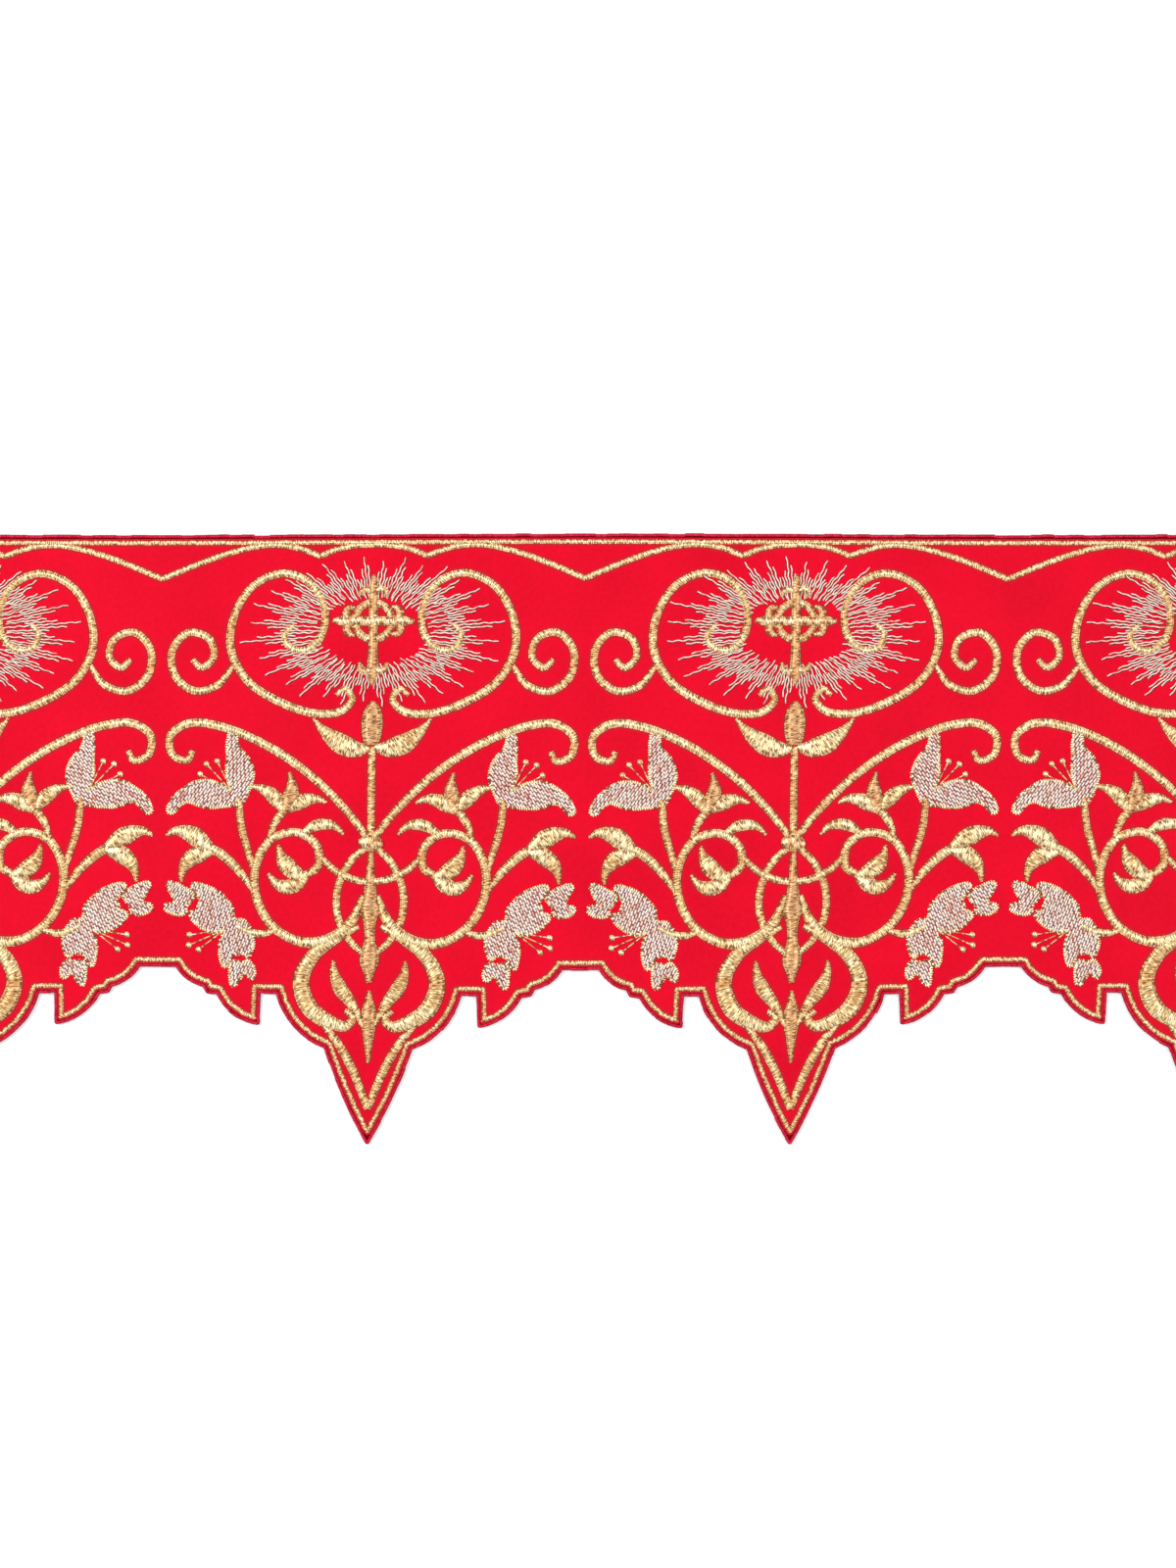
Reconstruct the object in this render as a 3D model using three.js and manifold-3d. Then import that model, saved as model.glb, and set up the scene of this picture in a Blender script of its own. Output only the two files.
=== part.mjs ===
// A cut length of embroidered altar-cloth trim, lying flat and face up: a red satin ground with a
// straight heading and a shaped, pointed hem, and a rolled edge sewn along both.
// Millimetres, +Z up, X along the length, heading towards +Y. The origin is under the middle of it.

import * as THREE from "three";
import { mergeVertices } from "three/addons/utils/BufferGeometryUtils.js";
import Module from "manifold-3d";

// ---- driving dimensions -------------------------------------------------------------------------

const REPEAT = 138; // length of one repeat of the hem
const REPEATS = 4; // repeats in the cut length; it is cut through the middle of a valley at each end
const LENGTH = REPEAT * REPEATS;
const DEPTH = 200; // heading to the points of the hem

const CLOTH_THICKNESS = 1.2; // satin, its backing and the stitches' underside
const ROLL_WIDTH = 1.3; // rolled edge, seen from above
const ROLL_THICKNESS = 1.7;
const GAP = 0.3; // between the cloth's cut edge and the roll around it

const ARC_STEPS = 8; // chords in each arc of the hem
const HEADING_STEP = 23; // chord length along the heading

// How the length lies: the points lean a little to the left, and its edges bow in and out by turns.
const LEAN = 0.012; // sideways, for each millimetre below the heading
const BOW = { height: 0.6, wave: 310, still: 40 }; // the depth below the heading that stays straight

// Half of one repeat's hem, from the middle of a valley to the point. across is the distance from the
// point's centre line, down the depth below the heading, and bulge how far the run to the next row
// swells outwards, as the arc's height over half its chord.
const HEM = [
  { across: 69.0, down: 142.0, bulge: 0 }, // valley
  { across: 63.2, down: 142.0, bulge: 0.2 }, // small scallop
  { across: 54.2, down: 148.6, bulge: 0 }, // step
  { across: 53.2, down: 150.6, bulge: 0 },
  { across: 50.0, down: 151.0, bulge: 0.26 }, // lobe
  { across: 35.4, down: 161.0, bulge: 0 },
  { across: 35.0, down: 150.6, bulge: 0 }, // notch
  { across: 30.4, down: 150.6, bulge: 0.24 }, // shoulder
  { across: 14.6, down: 168.2, bulge: 0.05 }, // point
  { across: 0, down: DEPTH, bulge: 0 },
];

// Soft swells where the cloth stands off the surface: centre, half sizes and height. Between them it
// lies flat.
const SWELLS = [
  { x: -218, down: 70, halfLength: 40, halfWidth: 48, height: 1.1 },
  { x: -128, down: 106, halfLength: 34, halfWidth: 30, height: 0.8 },
  { x: -84, down: 52, halfLength: 30, halfWidth: 36, height: 0.7 },
  { x: 6, down: 92, halfLength: 42, halfWidth: 44, height: 1.2 },
  { x: 92, down: 60, halfLength: 36, halfWidth: 40, height: 0.8 },
  { x: 150, down: 104, halfLength: 34, halfWidth: 34, height: 1.0 },
  { x: 226, down: 66, halfLength: 38, halfWidth: 44, height: 0.9 },
];
const CELL = 9; // facet size of the swells

// ---- how it lies --------------------------------------------------------------------------------

// A place on the flat pattern, x along it and down from the heading, as it lies on the surface.
function lay({ x, down }) {
  const bow = BOW.height * Math.cos((2 * Math.PI * x) / BOW.wave) * ((BOW.still - down) / 100);
  return new THREE.Vector2(x - LEAN * down, DEPTH / 2 - down + bow);
}

// Height of the cloth's underside over the surface.
function rise(x, y) {
  const down = DEPTH / 2 - y;
  return SWELLS.reduce((height, swell) => {
    const reach = Math.hypot((x - swell.x) / swell.halfLength, (down - swell.down) / swell.halfWidth);
    return reach < 1 ? height + swell.height * Math.cos((reach * Math.PI) / 2) ** 2 : height;
  }, 0);
}

// ---- outline on the flat pattern ----------------------------------------------------------------

// Points of an arc from one row to the next, without its last point. bulge is to the left of travel.
function arc(from, to, bulge) {
  if (bulge === 0) return [from];
  const chord = to.clone().sub(from);
  const turn = 4 * Math.atan(bulge);
  const radius = chord.length() / 2 / Math.sin(turn / 2);
  const along = chord.clone().normalize();
  const outward = new THREE.Vector2(-along.y, along.x);
  const centre = from.clone().add(to).multiplyScalar(0.5).addScaledVector(outward, -radius * Math.cos(turn / 2));
  return Array.from({ length: ARC_STEPS }, (_, i) => {
    const angle = turn * (i / ARC_STEPS - 0.5);
    return centre
      .clone()
      .addScaledVector(along, radius * Math.sin(angle))
      .addScaledVector(outward, radius * Math.cos(angle));
  });
}

// The hem from the right end to the left one, y below the heading as a negative height.
function hemLine() {
  const half = HEM.map((row) => new THREE.Vector2(row.across, -row.down));
  const right = half.slice(0, -1).flatMap((point, i) => arc(point, half[i + 1], HEM[i].bulge));
  const point = half.at(-1);
  const left = right.map((p) => new THREE.Vector2(-p.x, p.y)).reverse();
  const repeat = [...right, point, ...left.slice(0, -1)];
  const line = [];
  for (let i = REPEATS - 1; i >= 0; i -= 1) {
    const centre = (i + 0.5) * REPEAT - LENGTH / 2;
    line.push(...repeat.map((p) => new THREE.Vector2(p.x + centre, p.y)));
  }
  line.push(new THREE.Vector2(-LENGTH / 2, right[0].y));
  return line;
}

// A line moved sideways into the cloth by a distance, with its corners mitred.
function moveIn(line, distance) {
  const normal = (a, b) => {
    const along = b.clone().sub(a).normalize();
    return new THREE.Vector2(along.y, -along.x);
  };
  return line.map((p, i) => {
    const before = normal(line[Math.max(i - 1, 0)], line[Math.max(i, 1)]);
    const after = normal(line[Math.min(i, line.length - 2)], line[Math.min(i + 1, line.length - 1)]);
    const mitre = before.clone().add(after);
    return p.clone().addScaledVector(mitre, distance / mitre.dot(before));
  });
}

// The heading from the left end to the right one, at a depth below it.
function headingLine(depth) {
  const steps = LENGTH / HEADING_STEP;
  return Array.from({ length: steps + 1 }, (_, i) => new THREE.Vector2(i * HEADING_STEP - LENGTH / 2, -depth));
}

const laid = (points) => points.map((p) => lay({ x: p.x, down: -p.y }));

// ---- solids -------------------------------------------------------------------------------------

const wasm = await Module();
wasm.setup();

function toManifold(geometry) {
  geometry.deleteAttribute("normal");
  geometry.deleteAttribute("uv");
  const merged = mergeVertices(geometry, 1e-4);
  return new wasm.Manifold(
    new wasm.Mesh({
      numProp: 3,
      vertProperties: new Float32Array(merged.attributes.position.array),
      triVerts: new Uint32Array(merged.index.array),
    }),
  );
}

function toGeometry(manifold) {
  const mesh = manifold.getMesh();
  const geometry = new THREE.BufferGeometry();
  geometry.setAttribute("position", new THREE.BufferAttribute(new Float32Array(mesh.vertProperties), 3));
  geometry.setIndex(new THREE.BufferAttribute(new Uint32Array(mesh.triVerts), 1));
  geometry.computeVertexNormals();
  return geometry;
}

// A sheet of one thickness that follows the swells, larger than the length of trim.
function swellingSheet(thickness) {
  const width = LENGTH + 2 * CELL;
  const depth = DEPTH + 2 * CELL;
  const columns = Math.round(width / CELL);
  const rows = Math.round(depth / CELL);
  const sheet = new THREE.BoxGeometry(width, depth, thickness, columns, rows, 1);
  const place = sheet.attributes.position;
  for (let i = 0; i < place.count; i += 1) {
    const above = place.getZ(i) > 0 ? thickness : 0;
    place.setZ(i, above + rise(place.getX(i), place.getY(i)));
  }
  return toManifold(sheet);
}

// A flat pattern piece cut out of that sheet.
function cutFromSheet(pattern, thickness) {
  const headroom = 5;
  const cutter = new THREE.ExtrudeGeometry(new THREE.Shape(laid(pattern)), {
    depth: thickness + 2 * headroom,
    bevelEnabled: false,
  });
  cutter.translate(0, 0, -headroom);
  return toGeometry(swellingSheet(thickness).intersect(toManifold(cutter)));
}

const hem = hemLine();
const clothInset = ROLL_WIDTH + GAP;

const patterns = {
  groundCloth: [...headingLine(clothInset), ...moveIn(hem, clothInset)],
  headingRoll: [...headingLine(0), ...headingLine(ROLL_WIDTH).reverse()],
  hemRoll: [...hem, ...moveIn(hem, ROLL_WIDTH).reverse()],
};

// ---- materials ----------------------------------------------------------------------------------

const redSatin = new THREE.MeshStandardMaterial({ color: 0xee1430, roughness: 0.55, metalness: 0 });
const redThread = new THREE.MeshStandardMaterial({ color: 0xd10a2c, roughness: 0.5, metalness: 0 });

// ---- the length of trim -------------------------------------------------------------------------

function piece(name, pattern, thickness, material) {
  const mesh = new THREE.Mesh(cutFromSheet(pattern, thickness), material);
  mesh.name = name;
  return mesh;
}

const trim = new THREE.Group();
trim.add(
  piece("ground_cloth", patterns.groundCloth, CLOTH_THICKNESS, redSatin),
  piece("heading_roll", patterns.headingRoll, ROLL_THICKNESS, redThread),
  piece("hem_roll", patterns.hemRoll, ROLL_THICKNESS, redThread),
);

// The edges bow, so the middle of the outline is found from it.
const outline = laid([...headingLine(0), ...hem]);
const middle = new THREE.Box2().setFromPoints(outline).getCenter(new THREE.Vector2());
trim.position.set(-middle.x, -middle.y, 0);

export default trim;
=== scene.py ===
"""A cut length of embroidered altar-cloth trim, lying flat and face up on a pale floor.

Red satin with a straight heading and a shaped, pointed hem, a rolled edge in red thread along both,
and gold satin stitch with silver fill and running stitch. Tables are in millimetres on the flat
pattern: x along the length, across from a repeat's centre line, and down below the heading.
"""

import math

import bpy
import numpy as np
from bpy.props import FloatProperty, FloatVectorProperty, IntProperty, PointerProperty
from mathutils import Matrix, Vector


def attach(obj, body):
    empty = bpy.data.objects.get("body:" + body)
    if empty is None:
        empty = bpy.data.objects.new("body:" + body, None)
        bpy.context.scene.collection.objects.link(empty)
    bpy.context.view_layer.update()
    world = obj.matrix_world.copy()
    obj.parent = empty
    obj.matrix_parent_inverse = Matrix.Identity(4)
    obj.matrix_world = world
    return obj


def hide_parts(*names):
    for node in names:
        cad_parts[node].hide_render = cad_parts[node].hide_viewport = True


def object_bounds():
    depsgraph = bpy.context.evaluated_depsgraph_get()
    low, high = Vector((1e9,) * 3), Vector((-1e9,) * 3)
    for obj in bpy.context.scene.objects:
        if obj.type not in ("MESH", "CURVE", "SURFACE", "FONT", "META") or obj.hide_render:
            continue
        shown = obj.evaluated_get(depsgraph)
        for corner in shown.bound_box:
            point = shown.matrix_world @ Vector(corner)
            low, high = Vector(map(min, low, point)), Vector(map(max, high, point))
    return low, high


bl_info = {
    "name": "Embroidered altar-cloth trim",
    "version": (1, 0, 0),
    "blender": (4, 5, 0),
    "location": "3D View > Sidebar > Altar trim",
    "description": "Sews a length of embroidered altar-cloth trim over its packed solids",
    "category": "Add Mesh",
}

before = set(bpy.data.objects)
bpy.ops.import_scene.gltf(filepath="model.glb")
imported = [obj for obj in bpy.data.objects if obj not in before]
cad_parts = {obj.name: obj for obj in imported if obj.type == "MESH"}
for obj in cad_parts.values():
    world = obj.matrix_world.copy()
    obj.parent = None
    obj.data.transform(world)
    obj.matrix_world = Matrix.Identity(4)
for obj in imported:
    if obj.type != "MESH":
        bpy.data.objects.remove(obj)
CAD_BOX = [list(corner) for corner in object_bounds()]

MM = 0.001

# ---- the cloth's pattern ------------------------------------------------------------------------

REPEAT = 138.0
REPEATS = 4
LENGTH = REPEAT * REPEATS
DEPTH = 200.0
CLOTH_THICKNESS = 1.2
ROLL_WIDTH = 1.3
ROLL_THICKNESS = 1.7

LEAN = 0.012  # sideways lean of the points, for each millimetre below the heading
# Along the length the cloth bows up and down by turns, and more the farther from one depth.
BOW_HEIGHT = 0.6
BOW_WAVE = 310.0
BOW_STILL = 40.0  # the depth below the heading that stays straight
BOW_SPAN = 100.0  # how far from there the bow has its full height

ARC_STEPS = 8  # chords in each arc of the hem

# Half of one repeat's hem, from the middle of a valley to the point: across, down, and how far the
# run to the next row swells outwards, as the arc's height over half its chord.
HEM = [
    (69.0, 142.0, 0.0),  # valley
    (63.2, 142.0, 0.20),  # small scallop
    (54.2, 148.6, 0.0),  # step
    (53.2, 150.6, 0.0),
    (50.0, 151.0, 0.26),  # lobe
    (35.4, 161.0, 0.0),
    (35.0, 150.6, 0.0),  # notch
    (30.4, 150.6, 0.24),  # shoulder
    (14.6, 168.2, 0.05),  # point
    (0.0, DEPTH, 0.0),
]

# Soft swells where the cloth stands off the floor: x, down, half length, half width, height.
SWELLS = [
    (-218, 70, 40, 48, 1.1),
    (-128, 106, 34, 30, 0.8),
    (-84, 52, 30, 36, 0.7),
    (6, 92, 42, 44, 1.2),
    (92, 60, 36, 40, 0.8),
    (150, 104, 34, 34, 1.0),
    (226, 66, 38, 44, 0.9),
]

# ---- the embroidery's spines --------------------------------------------------------------------
# Each run of satin stitch or petal of fill follows a spine: across, down, width. A spine off the
# centre line is sewn on both sides of it.

BRACKET_LINE = [
    [(0, 3.5, 1.3), (6, 3.8, 1.3), (12, 5.0, 1.3), (17.5, 7.2, 1.3)],
    [(17.5, 7.2, 1.3), (24, 4.8, 1.3), (31, 3.6, 1.3), (38, 4.0, 1.3), (48, 6.4, 1.3),
     (58, 10.0, 1.3), (69, 14.6, 1.3)],
]

C_SCROLL = [
    (26.0, 29.4, 1.2), (28.8, 32.8, 1.7), (27.0, 37.0, 1.9), (21.6, 37.8, 2.0), (16.8, 33.0, 2.0),
    (16.0, 24.6, 2.0), (20.6, 16.2, 2.0), (29.4, 12.8, 2.0), (39.2, 16.8, 2.0), (45.4, 26.6, 2.1),
    (46.4, 37.6, 2.2), (41.0, 47.8, 2.2), (30.0, 55.0, 2.2), (18.6, 58.6, 2.1), (10.0, 57.8, 2.0),
    (6.6, 53.8, 1.8), (9.0, 50.6, 1.6), (11.8, 52.6, 1.0),
]
SIDE_CURL = [
    (45.6, 43.0, 1.1), (50.6, 49.4, 1.8), (58.2, 51.2, 2.0), (64.6, 46.2, 2.0), (65.4, 37.8, 2.0),
    (60.2, 32.2, 2.0), (53.6, 34.2, 1.9), (52.0, 40.2, 1.8), (55.8, 43.6, 1.7), (59.0, 41.0, 1.2),
]

CENTRE_STEM = [(0, 69.4, 1.9), (0, 84, 1.9), (0, 99, 1.9)]
BRANCH = [
    (0, 100.6, 1.7), (8.0, 90.4, 2.0), (20.0, 78.8, 2.2), (35.0, 68.8, 2.3), (50.0, 62.8, 2.3),
    (60.0, 62.0, 2.2), (65.8, 66.2, 2.1), (65.0, 72.4, 1.9), (60.2, 74.0, 1.7), (58.4, 70.8, 1.3),
]
LOOP = [
    (0, 101.0, 1.5), (6.6, 107.0, 1.8), (10.6, 116.0, 1.9), (10.4, 125.0, 1.9), (6.6, 132.6, 1.7),
    (0, 138.6, 1.3),
]
GARLAND = [(0, 113.6, 1.6), (6.0, 112.6, 1.8), (12.0, 109.6, 1.7), (17.0, 104.8, 1.2)]
SCROLL_STEM = [
    (2.4, 118.0, 1.3), (5.4, 125.6, 2.7), (10.4, 131.0, 3.6), (16.4, 133.4, 3.3), (23.8, 133.0, 2.6),
    (32.0, 128.0, 2.4), (37.2, 118.6, 2.4), (37.4, 108.6, 2.3), (32.4, 99.8, 2.2), (24.0, 97.6, 2.2),
    (17.6, 102.0, 2.2), (17.2, 108.6, 2.2), (21.8, 111.8, 1.8),
]
LILY_STEM = [(37.0, 114.0, 0.9), (39.6, 105.0, 1.7), (42.2, 96.0, 1.9), (43.2, 86.4, 1.7)]
BELL_STEM = [(30.6, 129.6, 0.8), (35.4, 130.8, 1.9), (39.6, 130.2, 1.9), (43.6, 128.2, 1.6)]
SPRIG_STEM = [(33.4, 101.4, 0.8), (31.6, 95.0, 1.9), (28.4, 90.2, 2.3)]
OUTER_STEM = [(37.6, 117.6, 0.8), (42.6, 110.6, 2.1), (49.0, 104.6, 2.6), (53.4, 102.4, 2.5)]

CENTRE_LEAF = [
    (0.8, 69.6, 1.4), (4.6, 70.2, 4.6), (9.6, 68.8, 6.3), (13.8, 66.0, 4.4), (16.8, 63.2, 2.0),
    (19.2, 60.2, 0.4),
]
SCROLL_LEAVES = [
    [(20.6, 112.0, 1.4), (24.4, 110.8, 4.6), (27.8, 107.8, 4.9), (29.5, 104.8, 2.4), (30.2, 101.6, 0.4)],
    [(20.8, 112.0, 1.4), (24.2, 114.6, 4.2), (28.0, 115.4, 4.2), (31.2, 113.9, 2.2), (33.4, 111.0, 0.4)],
]
SPRIG_LEAVES = [
    [(28.0, 90.4, 1.8), (24.0, 88.0, 4.4), (20.6, 86.7, 3.6), (17.4, 86.6, 1.9), (14.4, 87.8, 0.4)],
    [(28.6, 90.2, 1.8), (31.0, 86.8, 4.4), (33.8, 84.4, 3.6), (36.8, 83.0, 1.9), (39.8, 82.6, 0.4)],
]
OUTER_LEAVES = [
    [(52.0, 102.6, 2.4), (56.8, 99.4, 5.6), (60.8, 97.6, 4.2), (64.2, 97.4, 2.0), (66.8, 98.8, 0.4)],
    [(51.6, 103.8, 1.8), (56.0, 104.8, 5.2), (59.4, 107.2, 4.4), (61.2, 110.4, 2.2), (61.6, 114.0, 0.4)],
]
INNER_LEAF = [
    (22.6, 98.0, 1.2), (17.8, 95.2, 3.2), (14.2, 94.8, 2.9), (11.2, 95.8, 1.6), (8.8, 98.2, 0.4),
]

CENTRE_BUD = [(0, 54.6, 0.8), (0, 57.6, 5.0), (0, 62.4, 6.4), (0, 66.6, 5.4), (0, 69.0, 3.4)]
SPRIG_BUD = [
    (28.2, 90.8, 2.0), (26.6, 86.8, 4.8), (26.0, 83.6, 4.0), (26.2, 80.8, 2.0), (26.8, 77.8, 0.4),
]
KNOT = [(-4.0, 100.8, 1.2), (-2.0, 100.8, 4.4), (0, 100.8, 5.6), (2.0, 100.8, 4.4), (4.0, 100.8, 1.2)]
SPINDLE = [
    (0, 104.0, 1.2), (0, 112.0, 2.4), (0, 118.6, 4.2), (0, 123.0, 6.2), (0, 126.4, 3.8),
    (0, 132.6, 3.0), (0, 136.8, 5.4), (0, 140.2, 5.4), (0, 143.4, 2.8), (0, 146.4, 1.2),
]
PENDANT_DROP = [
    (0, 149.0, 0.5), (0, 152.0, 2.0), (0, 156.0, 4.4), (0, 159.4, 4.6), (0, 164.4, 2.9), (0, 168.6, 1.6),
    (0, 172.6, 0.4),
]

PENDANT_HEART = [
    (3.6, 128.0, 1.2), (11.0, 132.2, 2.8), (18.4, 137.8, 4.0), (22.2, 146.2, 4.8), (19.4, 154.8, 5.2),
    (12.8, 159.4, 4.2), (7.4, 160.6, 2.8), (5.2, 157.8, 2.0), (7.8, 155.6, 1.2),
]
PENDANT_POINT = [(14.8, 160.4, 1.2), (10.2, 166.0, 2.2), (5.0, 175.2, 2.3), (0, 187.6, 1.8)]
PENDANT_LEAF = [
    (1.6, 160.8, 0.9), (5.8, 153.2, 3.0), (9.6, 148.0, 4.2), (11.4, 143.6, 2.4), (11.8, 139.2, 0.4),
]

# ---- the lilies, each in its own place: aside, along the way it opens, width --------------------

LILY_AT = (43.2, 86.6)
LILY_TURN = -24.0
LILY_PETALS = [
    [(0.4, -1.4, 2.4), (-1.4, 2.2, 5.8), (-3.4, 6.6, 8.8), (-4.4, 11.2, 7.6), (-4.6, 14.8, 4.6),
     (-5.4, 18.0, 3.4), (-7.0, 21.0, 2.6)],
    [(0.0, -0.8, 2.4), (3.2, 1.6, 5.8), (7.6, 4.8, 8.8), (12.0, 7.2, 7.8), (15.6, 8.0, 4.6),
     (18.8, 7.4, 3.6), (21.6, 5.6, 2.8)],
]
LILY_STAMEN_FOOT = (1.2, 3.2)
LILY_STAMEN_TIPS = [(1.6, 14.0), (5.2, 14.6), (8.4, 12.4)]

BELL_CUP = [
    [(0.0, -1.6, 3.4), (0.2, 0.6, 7.6), (0.0, 3.4, 12.6), (-0.2, 6.4, 13.6), (-0.6, 8.8, 11.6),
     (-0.8, 9.8, 8.0)],
    [(-3.0, 6.6, 8.4), (-4.2, 10.0, 8.0), (-5.0, 13.2, 6.2), (-5.4, 16.0, 4.4), (-5.4, 18.0, 3.0)],
    [(2.8, 6.2, 7.8), (3.5, 9.0, 6.8), (3.9, 11.4, 5.2), (4.0, 13.2, 3.4)],
]
BELL_INNER = [
    [(0.6, 16.8, 6.0), (0.2, 19.6, 7.0), (-0.4, 22.2, 5.8), (-1.0, 24.6, 4.2), (-1.2, 26.2, 3.0)],
    [(2.6, 17.8, 5.4), (4.6, 19.4, 5.4), (5.9, 21.2, 4.2), (6.3, 22.8, 3.0)],
]
BELLS = [  # across, down, turn, size
    (45.6, 127.6, -60.0, 0.88),
    (42.6, 127.4, -178.0, 0.75),
]
BELL_STAMEN_FOOT = (47.4, 129.6)
BELL_STAMEN_TIPS = [(58.8, 131.4), (59.0, 134.8), (55.8, 136.2)]

# ---- the glory of rays and the cross ------------------------------------------------------------

GLORY_DOWN = 32.0
GLORY_INNER = (18.0, 10.8)  # half sizes of the clear oval
GLORY_OUTER = (43.5, 24.5)  # half sizes out to the longest rays
RAY_CLUSTERS = 32
# where each line of a cluster starts and ends, as shares of the way out
RAY_LINES = [(0.02, 0.52), (0.28, 0.70), (0.0, 1.0), (0.30, 0.80), (0.05, 0.56)]

CROSS_CENTRE_DOWN = 28.4
CROSS_ARMS = [(90.0, 9.6), (0.0, 8.0), (180.0, 8.0), (-90.0, 15.6)]  # turn, length
# aside, along, width; past the centre, along is a share of the arm's length
CROSS_BAR = [(0.0, -0.6, 2.6), (0.0, 0.6, 2.6), (0.0, 1.0, 3.4)]
CROSS_FINIAL = [  # aside, beyond the bar's end, width
    [(0.0, -0.6, 1.8), (0.0, 1.4, 3.0), (0.0, 3.2, 2.2), (0.0, 5.4, 0.5)],
    [(0.7, 0.0, 1.4), (2.4, 0.8, 2.0), (4.0, 0.0, 1.7), (4.6, -2.0, 0.5)],
    [(-0.7, 0.0, 1.4), (-2.4, 0.8, 2.0), (-4.0, 0.0, 1.7), (-4.6, -2.0, 0.5)],
]
CROSS_RING = (6.0, 1.9)  # radius and width


# ---- sizes and colours that a user would change -------------------------------------------------


def linear(code):
    """An sRGB hex colour as the linear RGBA that Blender holds."""
    channels = [int(code[i : i + 2], 16) / 255 for i in (0, 2, 4)]
    return [c / 12.92 if c <= 0.04045 else ((c + 0.055) / 1.055) ** 2.4 for c in channels] + [1.0]


def length_prop(name, description, default_mm):
    """A length that a user can change, from its default in millimetres."""
    return FloatProperty(
        name=name, description=description, default=default_mm * MM, unit="LENGTH", precision=5
    )


def colour_prop(name, description, code):
    """A colour that a user can change, from its sRGB hex code."""
    return FloatVectorProperty(
        name=name, description=description, default=linear(code), size=4, subtype="COLOR", min=0, max=1
    )


class TrimSizes(bpy.types.PropertyGroup):
    """Thread and stitch sizes."""

    satin_pitch: length_prop("Satin pitch", "Spacing of the gold threads along a stem", 0.56)
    satin_height: length_prop("Satin height", "Height of a 2.5 mm wide stem over the cloth", 0.7)
    line_width: length_prop("Border line width", "Width of the gold line inside the edges", 0.95)
    line_inset: length_prop("Border line inset", "From the outer edge to the gold line's middle", 2.52)
    fill_pitch: length_prop("Fill pitch", "Spacing of the rows of silver fill", 0.82)
    fill_stitch: length_prop("Fill stitch", "Length of one silver fill stitch", 2.1)
    ray_stitch: length_prop("Ray stitch", "Length of one stitch in a ray", 1.7)
    roll_pitch: length_prop("Edge roll pitch", "Spacing of the red threads round the edge", 0.6)
    cloth_cell: length_prop("Cloth cell", "Size of the cloth's mesh", 3.0)
    seed: IntProperty(name="Seed", description="Start of the threads' small unevenness", default=11)


class TrimColours(bpy.types.PropertyGroup):
    """Thread and cloth colours."""

    satin_red: colour_prop("Satin red", "The ground cloth", "e50d2a")
    roll_red: colour_prop("Edge red", "The thread of the rolled edge", "ee2242")
    gold: colour_prop("Gold", "Body of the gold thread", "e9d494")
    gold_light: colour_prop("Pale gold", "Gold threads that catch the light", "fffad0")
    # copper gold: painted shade where the gold threads turn down into the cloth
    gold_bend_shade: colour_prop("Copper gold", "Where the gold threads turn down into the cloth", "ffd098")
    # deep gold: painted shade between the gold threads
    gold_groove_shade: colour_prop("Deep gold", "Between the gold threads", "7a3606")
    # old gold: the gold thread painted darker and more orange, as shade; its mottle is its own
    old_gold: colour_prop("Old gold", "Buds, spindle and cross", "e2a561")
    silver: colour_prop("Silver", "Body of the silver thread", "fff4df")
    # pink silver: a painted reflection of the red cloth in the silver threads
    silver_pink: colour_prop("Pink silver", "Silver threads that catch the red of the cloth", "eeb2a2")
    # deep silver: painted shade between the silver threads
    silver_groove_shade: colour_prop("Deep silver", "Between the silver threads", "8a181c")


# ---- laying the pattern down --------------------------------------------------------------------


def repeat_centres():
    """Where the centre lines of the repeats are along the length, from the left."""
    return [(i + 0.5) * REPEAT - LENGTH / 2 for i in range(REPEATS)]


def arc_points(start, end, bulge):
    """Points of an arc between two places, without the last; a bulge is to the left of travel."""
    start, end = np.array(start, float), np.array(end, float)
    if bulge == 0:
        return [start]
    chord = end - start
    span = np.linalg.norm(chord)
    turn = 4 * math.atan(bulge)
    radius = span / 2 / math.sin(turn / 2)
    along = chord / span
    outward = np.array([-along[1], along[0]])
    centre = (start + end) / 2 - outward * radius * math.cos(turn / 2)
    angles = [turn * (i / ARC_STEPS - 0.5) for i in range(ARC_STEPS)]
    return [centre + radius * (along * math.sin(a) + outward * math.cos(a)) for a in angles]


def hem_line():
    """The hem from the right end of the length to the left one: x, and down as a negative height."""
    half = [(across, -down) for across, down, _ in HEM]
    right = []
    for i, (_, _, bulge) in enumerate(HEM[:-1]):
        right += arc_points(half[i], half[i + 1], bulge)
    left = [p * (-1, 1) for p in reversed(right)]
    repeat = right + [np.array(half[-1])] + left[:-1]
    line = [p + (centre, 0) for centre in reversed(repeat_centres()) for p in repeat]
    return np.array(line + [np.array([-LENGTH / 2, right[0][1]])])


def move_in(line, distance):
    """The line moved into the cloth, with its corners mitred."""
    along = np.diff(line, axis=0)
    along /= np.linalg.norm(along, axis=1)[:, None]
    normal = np.column_stack([along[:, 1], -along[:, 0]])
    before = np.vstack([normal[:1], normal])
    after = np.vstack([normal, normal[-1:]])
    mitre = before + after
    return line + mitre * (distance / (mitre * before).sum(axis=1))[:, None]


def on_floor(x, down):
    """Where a place on the flat pattern lies on the floor, before the length is centred."""
    bow = BOW_HEIGHT * np.cos(2 * np.pi * x / BOW_WAVE) * (BOW_STILL - down) / BOW_SPAN
    return x - LEAN * down, DEPTH / 2 - down + bow


def rise(x, y):
    """Height of the cloth's underside over the floor."""
    down = DEPTH / 2 - y
    height = np.zeros(np.shape(x))
    for at_x, at_down, half_length, half_width, top in SWELLS:
        reach = np.hypot((x - at_x) / half_length, (down - at_down) / half_width)
        height += top * np.cos(np.minimum(reach, 1) * np.pi / 2) ** 2
    return height


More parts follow.
